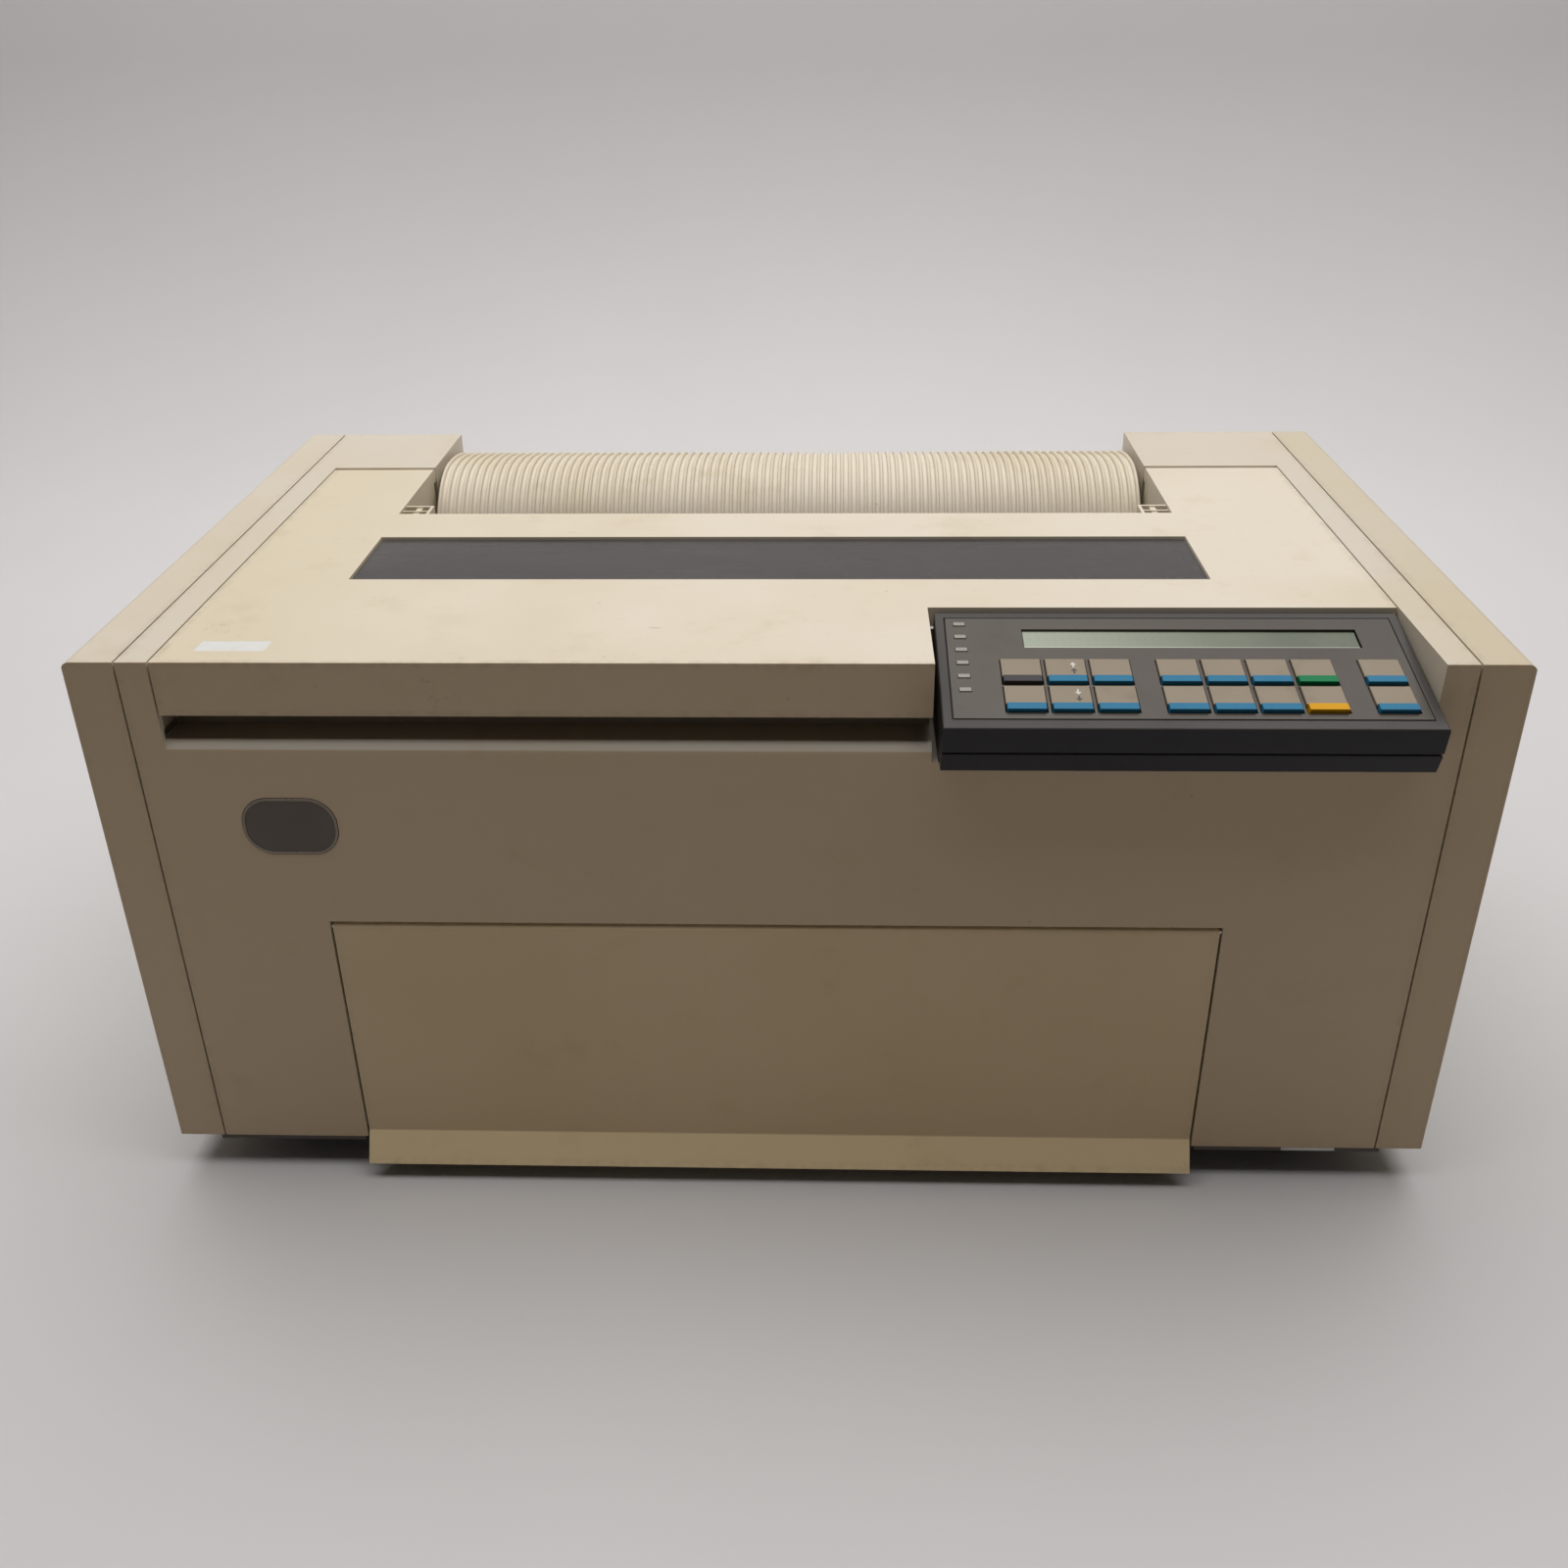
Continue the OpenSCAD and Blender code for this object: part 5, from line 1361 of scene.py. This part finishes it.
@dataclass
class OperatorPanel:
    """The tilted panel with its display, lamps and keys."""

    shop: Workshop
    corner: Corner = (0.0641, -0.1035, 0.2767)
    tilt: float = 12.5
    keys_x: float = 26.8 * MM
    keys_s: float = 36.2 * MM
    pitch: float = 19.05 * MM
    key: float = 17 * MM
    skirt: float = 3.4 * MM
    tile_rise: float = 1 * MM
    tile_rounding: float = 0.4 * MM
    bar: float = 4.6 * MM
    bar_inset: float = 0.4 * MM
    bar_rise: float = 1.8 * MM
    bar_slope: Span = (0.15 * MM, -0.1 * MM)
    bar_rounding: float = 0.22 * MM
    stem_inset: float = 2 * MM
    stem_front: float = 4 * MM
    stem_z: Span = (-4.6 * MM, -3.2 * MM)
    arrow: Corner = (0.4 * MM, 1.5 * MM, 1.8 * MM)
    arrow_x: float = 0.69
    arrow_s: Span = (4.4 * MM, 8.8 * MM)
    print_sink: float = 0.05 * MM
    print_depth: float = 0.08 * MM
    lamp_x: float = 8.1 * MM
    lamp_s: float = 8.1 * MM
    lamp_pitch: float = 9.55 * MM
    lamp: Span = (5.2 * MM, 2.6 * MM)
    lamp_z: Span = (-0.8 * MM, 0.45 * MM)
    lamp_rounding: float = 0.25 * MM
    lamps: int = 6
    columns: tuple[float, ...] = (0, 1, 2, 3.5, 4.5, 5.5, 6.5, 8)
    keys: tuple[tuple[Key, ...], ...] = (
        (
            Key("key_menu", BarColour.DARK),
            Key("key_scroll_up", mark=Mark.UP),
            Key("key_enter"),
            Key("key_hex_print"),
            Key("key_line_feed"),
            Key("key_form_feed"),
            Key("key_start", BarColour.GREEN),
            Key("key_cancel"),
        ),
        (
            Key("key_reference"),
            Key("key_scroll_down", mark=Mark.DOWN),
            Key("key_return"),
            Key("key_interface"),
            Key("key_load"),
            Key("key_top_of_form"),
            Key("key_stop", BarColour.YELLOW),
            Key("key_test"),
        ),
    )
    cases: tuple[Rounded, ...] = (
        Rounded("panel_upper_case", "panel_frame", PANEL_DARK, 0.7 * MM, shortest=20 * MM),
        Rounded("panel_lower_case", "panel_tray", PANEL_BLACK, 0.7 * MM, shortest=12 * MM),
        Rounded("panel_faceplate", "panel_plate", PLATE_FILM, 0.15 * MM, shortest=2 * MM),
        Rounded("display", "display_screen", DISPLAY, 0.2 * MM, shortest=2 * MM),
    )

    def _lay(self, mesh: Mesh) -> None:
        """Turns a mesh drawn flat, with Y up the panel and Z out of it, into place."""
        place = Matrix.Translation(self.corner) @ Matrix.Rotation(math.radians(self.tilt), 4, "X")
        bmesh.ops.transform(mesh, matrix=place, verts=mesh.verts)

    def _arrow(self, mesh: Mesh, x: float, y: float, up: float, number: int) -> None:
        """Adds a thin printed arrow on a tile.

        Args:
            mesh: The key's mesh.
            x: The arrow's middle along the panel.
            y: Its middle up the panel.
            up: 1 if it points up the panel, -1 if down.
            number: Its ink's material number.
        """
        stem, head, long = self.arrow
        outline = [(-stem, -long), (stem, -long), (stem, 0.0), (head, 0.0), (0.0, long), (-head, 0.0), (-stem, 0.0)]
        corners = [mesh.verts.new((x + a, y + b * up, self.tile_rise - self.print_sink)) for a, b in outline]
        face = mesh.faces.new(corners if up > 0 else corners[::-1])
        face.material_index = number
        thickened(mesh, [face], (0.0, 0.0, self.print_depth))

    def _key(self, key: Key, left: float, rear: float) -> None:
        """Makes one key: its tile, its raised bar and its stem.

        Args:
            key: The key's look.
            left: Place of its left side along the panel.
            rear: Place of its rear side up the panel.
        """
        mesh = bmesh.new()
        right = left + self.key
        front = rear - self.key
        split = front + self.bar
        soft_block(mesh, (left, split, -self.skirt), (right, rear, self.tile_rise), self.tile_rounding)
        low = (left + self.bar_inset, front, -self.skirt)
        bar = block(mesh, low, (right - self.bar_inset, split, self.bar_rise), 1)
        for corner in bar:
            if corner.co.z > 0:
                corner.co.y += self.bar_slope[corner.co.y > split - self.bar / 2]
        bevel(mesh, edges_of(mesh, bar), self.bar_rounding)
        low = (left + self.stem_inset, front + self.stem_front, self.stem_z[0])
        block(mesh, low, (right - self.stem_inset, rear - self.stem_inset, self.stem_z[1]), 1)
        if key.mark is not Mark.NONE:
            for down, ink in zip(self.arrow_s, (3, 2)):
                self._arrow(mesh, left + self.key * self.arrow_x, rear - down, key.mark.value, ink)
        bmesh.ops.recalc_face_normals(mesh, faces=mesh.faces)
        self._lay(mesh)
        finishes = (KEY_TILE, key.colour.value, INK_DARK, INK_LIGHT)
        self.shop.piece(f"{key.name}_cap", mesh, finishes, key.name, key.slot, key.name)

    def _lamps(self) -> None:
        """Makes the small lamp lenses."""
        mesh = bmesh.new()
        for number in range(self.lamps):
            rear = -(self.lamp_s + number * self.lamp_pitch)
            low = (self.lamp_x, rear - self.lamp[1], self.lamp_z[0])
            soft_block(mesh, low, (self.lamp_x + self.lamp[0], rear, self.lamp_z[1]), self.lamp_rounding)
        self._lay(mesh)
        self.shop.piece("lamp_lenses", mesh, (LENS,), slot=GEAR_PLASTIC.name)

    def build(self) -> None:
        """Makes the cases, plate, display, lamps and keys."""
        for part in self.cases:
            self.shop.rounded(part)
        self._lamps()
        for row, keys in enumerate(self.keys):
            for column, key in zip(self.columns, keys):
                self._key(key, self.keys_x + column * self.pitch, -(self.keys_s + row * self.pitch))

    def dress(self) -> None:
        """Gives the circuit board its finish."""
        self.shop.dress("control_board", BOARD_GREEN)


@dataclass
class Mechanism:
    """The carriage, paper feed, ribbon and electrics under the covers."""

    shop: Workshop
    parts: tuple[Rounded, ...] = (
        Rounded("platen", "platen_roller_rubber", PLATEN_RUBBER, 0.4 * MM, "platen_roller"),
        Rounded("guide_rods", "guide_rods_ground", STEEL, 0.4 * MM),
        Rounded("carriage", "carriage_block", BLACK_PLASTIC, 0.5 * MM, "carriage_assembly"),
        Rounded("print_head", "print_head_block", ALLOY, 0.3 * MM, "carriage_assembly"),
        Rounded("ribbon_cartridge", "ribbon_box", BLACK_PLASTIC, 0.6 * MM),
        Rounded("ribbon_knob", "ribbon_knob_cap", CONTROL_BLUE, 0.4 * MM, "ribbon_knob"),
        Rounded("thickness_lever", "thickness_lever_arm", CONTROL_BLUE, 0.4 * MM, "thickness_lever"),
        Rounded("paper_bail", "paper_bail_bar", STEEL, 0.3 * MM, "paper_bail"),
        Rounded("left_tractor", "left_tractor_block", DARK_PLASTIC, 0.4 * MM, "left_tractor", BLACK_PLASTIC.name),
        Rounded("right_tractor", "right_tractor_block", DARK_PLASTIC, 0.4 * MM, "right_tractor", BLACK_PLASTIC.name),
        Rounded("left_tractor_lid", "left_lid_plate", DARK_PLASTIC, 0.3 * MM, "left_tractor_lid", BLACK_PLASTIC.name),
        Rounded(
            "right_tractor_lid", "right_lid_plate", DARK_PLASTIC, 0.3 * MM, "right_tractor_lid", BLACK_PLASTIC.name
        ),
        Rounded("drive_pulley", "drive_pulley_turned", STEEL, 0.2 * MM, "drive_pulley"),
        Rounded("idler_pulley", "idler_pulley_turned", STEEL, 0.2 * MM, "idler_pulley"),
        Rounded("power_switch", "rocker_cap", BLACK_PLASTIC, 0.4 * MM, "power_switch"),
        Rounded("fan_rotor", "fan_blades", BLACK_PLASTIC, 0.2 * MM, "fan_rotor"),
    )
    carried: tuple[tuple[str, Finish], ...] = (
        ("print_frame", ZINC),
        ("carriage_belt", BELT_RUBBER),
        ("carriage_motor", MOTOR_PAINT),
        ("platen_gear", GEAR_PLASTIC),
        ("idler_gear", GEAR_PLASTIC),
        ("feed_motor", MOTOR_PAINT),
        ("feed_pinion", BRASS),
        ("tractor_shaft", STEEL),
        ("power_supply", ZINC),
        ("logic_board", BOARD_GREEN),
        ("rear_panel", REAR_SHEET),
    )
    prongs: tuple[Span, ...] = ((0.02285, 0.0366), (0.02785, 0.0414), (0.03285, 0.0366))
    prong: Span = (1 * MM, 2 * MM)
    prong_y: Span = (0.1779, 0.1808)
    tongues: tuple[Span, ...] = ((-0.15265, 20.5 * MM), (-0.08265, 13.5 * MM))
    tongue_y: Span = (0.1794, 0.1826)
    tongue_z: Span = (0.0478, 0.0502)
    strip: float = 0.5 * MM
    strip_start: float = 0.3 * MM
    strip_pitch: float = 1.08 * MM
    strip_y: Span = (0.18, 0.1824)
    strip_z: Span = (0.0476, 0.0504)
    contact_rounding: float = 0.06 * MM

    def _contacts(self) -> None:
        """Makes the inlet's three prongs and the two ports' tongues with their contact strips."""
        mesh = bmesh.new()
        wide, high = self.prong
        for x, z in self.prongs:
            block(mesh, (x - wide, self.prong_y[0], z - high), (x + wide, self.prong_y[1], z + high))
        for x, half in self.tongues:
            low = (x - half, self.tongue_y[0], self.tongue_z[0])
            block(mesh, low, (x + half, self.tongue_y[1], self.tongue_z[1]), 1)
            for number in range(int(half / self.strip_pitch)):
                reach = self.strip_start + number * self.strip_pitch
                for left in (x - reach - self.strip, x + reach):
                    low = (left, self.strip_y[0], self.strip_z[0])
                    block(mesh, low, (left + self.strip, self.strip_y[1], self.strip_z[1]))
        bevel(mesh, mesh.edges[:], self.contact_rounding, 1)
        bmesh.ops.recalc_face_normals(mesh, faces=mesh.faces)
        self.shop.piece("socket_contacts", mesh, (BRASS, BLACK_PLASTIC))

    def build(self) -> None:
        """Makes the sockets' contacts and the pieces with rounded edges."""
        self._contacts()
        for part in self.parts:
            self.shop.rounded(part)

    def dress(self) -> None:
        """Gives the carried-over nodes their finishes."""
        for node, finish in self.carried:
            self.shop.dress(node, finish)


@dataclass
class Studio:
    """The floor, the backdrop, the light, the air and the camera."""

    shop: Workshop
    floor_front: float = -3.0
    wall_y: float = 1.05
    cove: float = 0.45
    cove_steps: int = 24
    wall_height: float = 0.35
    half_width: float = 3.6
    lamp_at: Corner = (0.0, 0.36, 1.9)
    lamp_size: Span = (2.8, 2.2)
    lamp_power: float = 48.0
    lamp_colour: Corner = (1.0, 0.99, 0.985)
    air_colour: Colour = (1.0, 0.93, 0.84, 1.0)
    air_strength: float = 0.03
    seen_colour: Colour = shade(190, 188, 187)
    camera_at: Corner = (0.01994, -0.74704, 0.5374)
    camera_turn: Corner = (61.5556, 0.6894, 1.7898)
    lens: float = 35.108
    sensor: float = 36.0
    nearest: float = 10 * MM

    def _sheet(self) -> None:
        """Makes the floor and the wall behind it as one curved sheet."""
        mesh = bmesh.new()
        ends = [mesh.verts.new((x, self.floor_front, 0.0)) for x in (-self.half_width, self.half_width)]
        bend = self.wall_y - self.cove
        current = pulled(mesh, [mesh.edges.new(ends)], (0.0, bend - self.floor_front, 0.0))
        current = turned(mesh, current, (0.0, bend, self.cove), 90.0, self.cove_steps)
        pulled(mesh, current, (0.0, 0.0, self.wall_height))
        bmesh.ops.recalc_face_normals(mesh, faces=mesh.faces)
        data = bpy.data.meshes.new("backdrop")
        mesh.to_mesh(data)
        mesh.free()
        data.materials.append(self.shop.material(FLOOR_SHEET))
        data.shade_smooth()
        self._placed("backdrop", data)

    @staticmethod
    def _placed(name: str, data: bpy.types.ID) -> bpy.types.Object:
        """Puts a new object into the scene.

        Args:
            name: Its name.
            data: Its mesh, light or camera.

        Returns:
            The object.
        """
        thing = bpy.data.objects.new(name, data)
        bpy.context.scene.collection.objects.link(thing)
        return thing

    def _lamp(self) -> None:
        """Hangs the soft rectangular lamp, which shines straight down."""
        light = bpy.data.lights.new("overhead_lamp", "AREA")
        light.shape = "RECTANGLE"
        light.size, light.size_y = self.lamp_size
        light.energy = self.lamp_power
        light.color = self.lamp_colour
        self._placed("overhead_lamp", light).location = self.lamp_at

    def _air(self) -> None:
        """Makes the world: a faint warm light, seen as a pale wall."""
        world = bpy.data.worlds.new("studio_air")
        world.use_nodes = True
        graph = Graph(world.node_tree)
        rays = graph.node("ShaderNodeLightPath", output="Is Camera Ray")
        seen = rays.most(rays.out("Is Glossy Ray")).most(rays.out("Is Transmission Ray"))
        air = graph.node("ShaderNodeBackground", inputs={"Color": self.air_colour, "Strength": self.air_strength})
        wall = graph.node("ShaderNodeBackground", inputs={"Color": self.seen_colour, "Strength": 1.0})
        graph.end("ShaderNodeOutputWorld", graph.node("ShaderNodeMixShader", inputs={0: seen, 1: air, 2: wall}))
        bpy.context.scene.world = world

    def _camera(self) -> None:
        """Sets up the camera."""
        data = bpy.data.cameras.new("camera")
        data.lens = self.lens
        data.sensor_width = self.sensor
        data.clip_start = self.nearest
        camera = self._placed("camera", data)
        camera.location = self.camera_at
        camera.rotation_euler = Euler([math.radians(angle) for angle in self.camera_turn], "XYZ")
        bpy.context.scene.camera = camera

    def build(self) -> None:
        """Makes the sheet, the light, the air and the camera."""
        self._sheet()
        self._lamp()
        self._air()
        self._camera()
        bpy.context.scene.view_settings.view_transform = "Standard"


@dataclass
class Printer:
    """The whole machine."""

    shop: Workshop = field(default_factory=Workshop)

    def build(self) -> None:
        """Builds the sub-assemblies in order and dresses the nodes that they keep."""
        covers = Covers(self.shop)
        panel = OperatorPanel(self.shop)
        mechanism = Mechanism(self.shop)
        for part in (covers, Hood(self.shop), FrontDoor(self.shop), PaperGuide(self.shop), panel, mechanism):
            LOG.info("building %s", type(part).__name__)
            part.build()
        for part in (covers, panel, mechanism):
            part.dress()


def main() -> None:
    """Builds the studio and the printer."""
    logging.basicConfig(level=logging.INFO, format="%(message)s")
    Studio(Workshop()).build()
    Printer().build()
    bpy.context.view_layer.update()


if __name__ == "__main__":
    main()
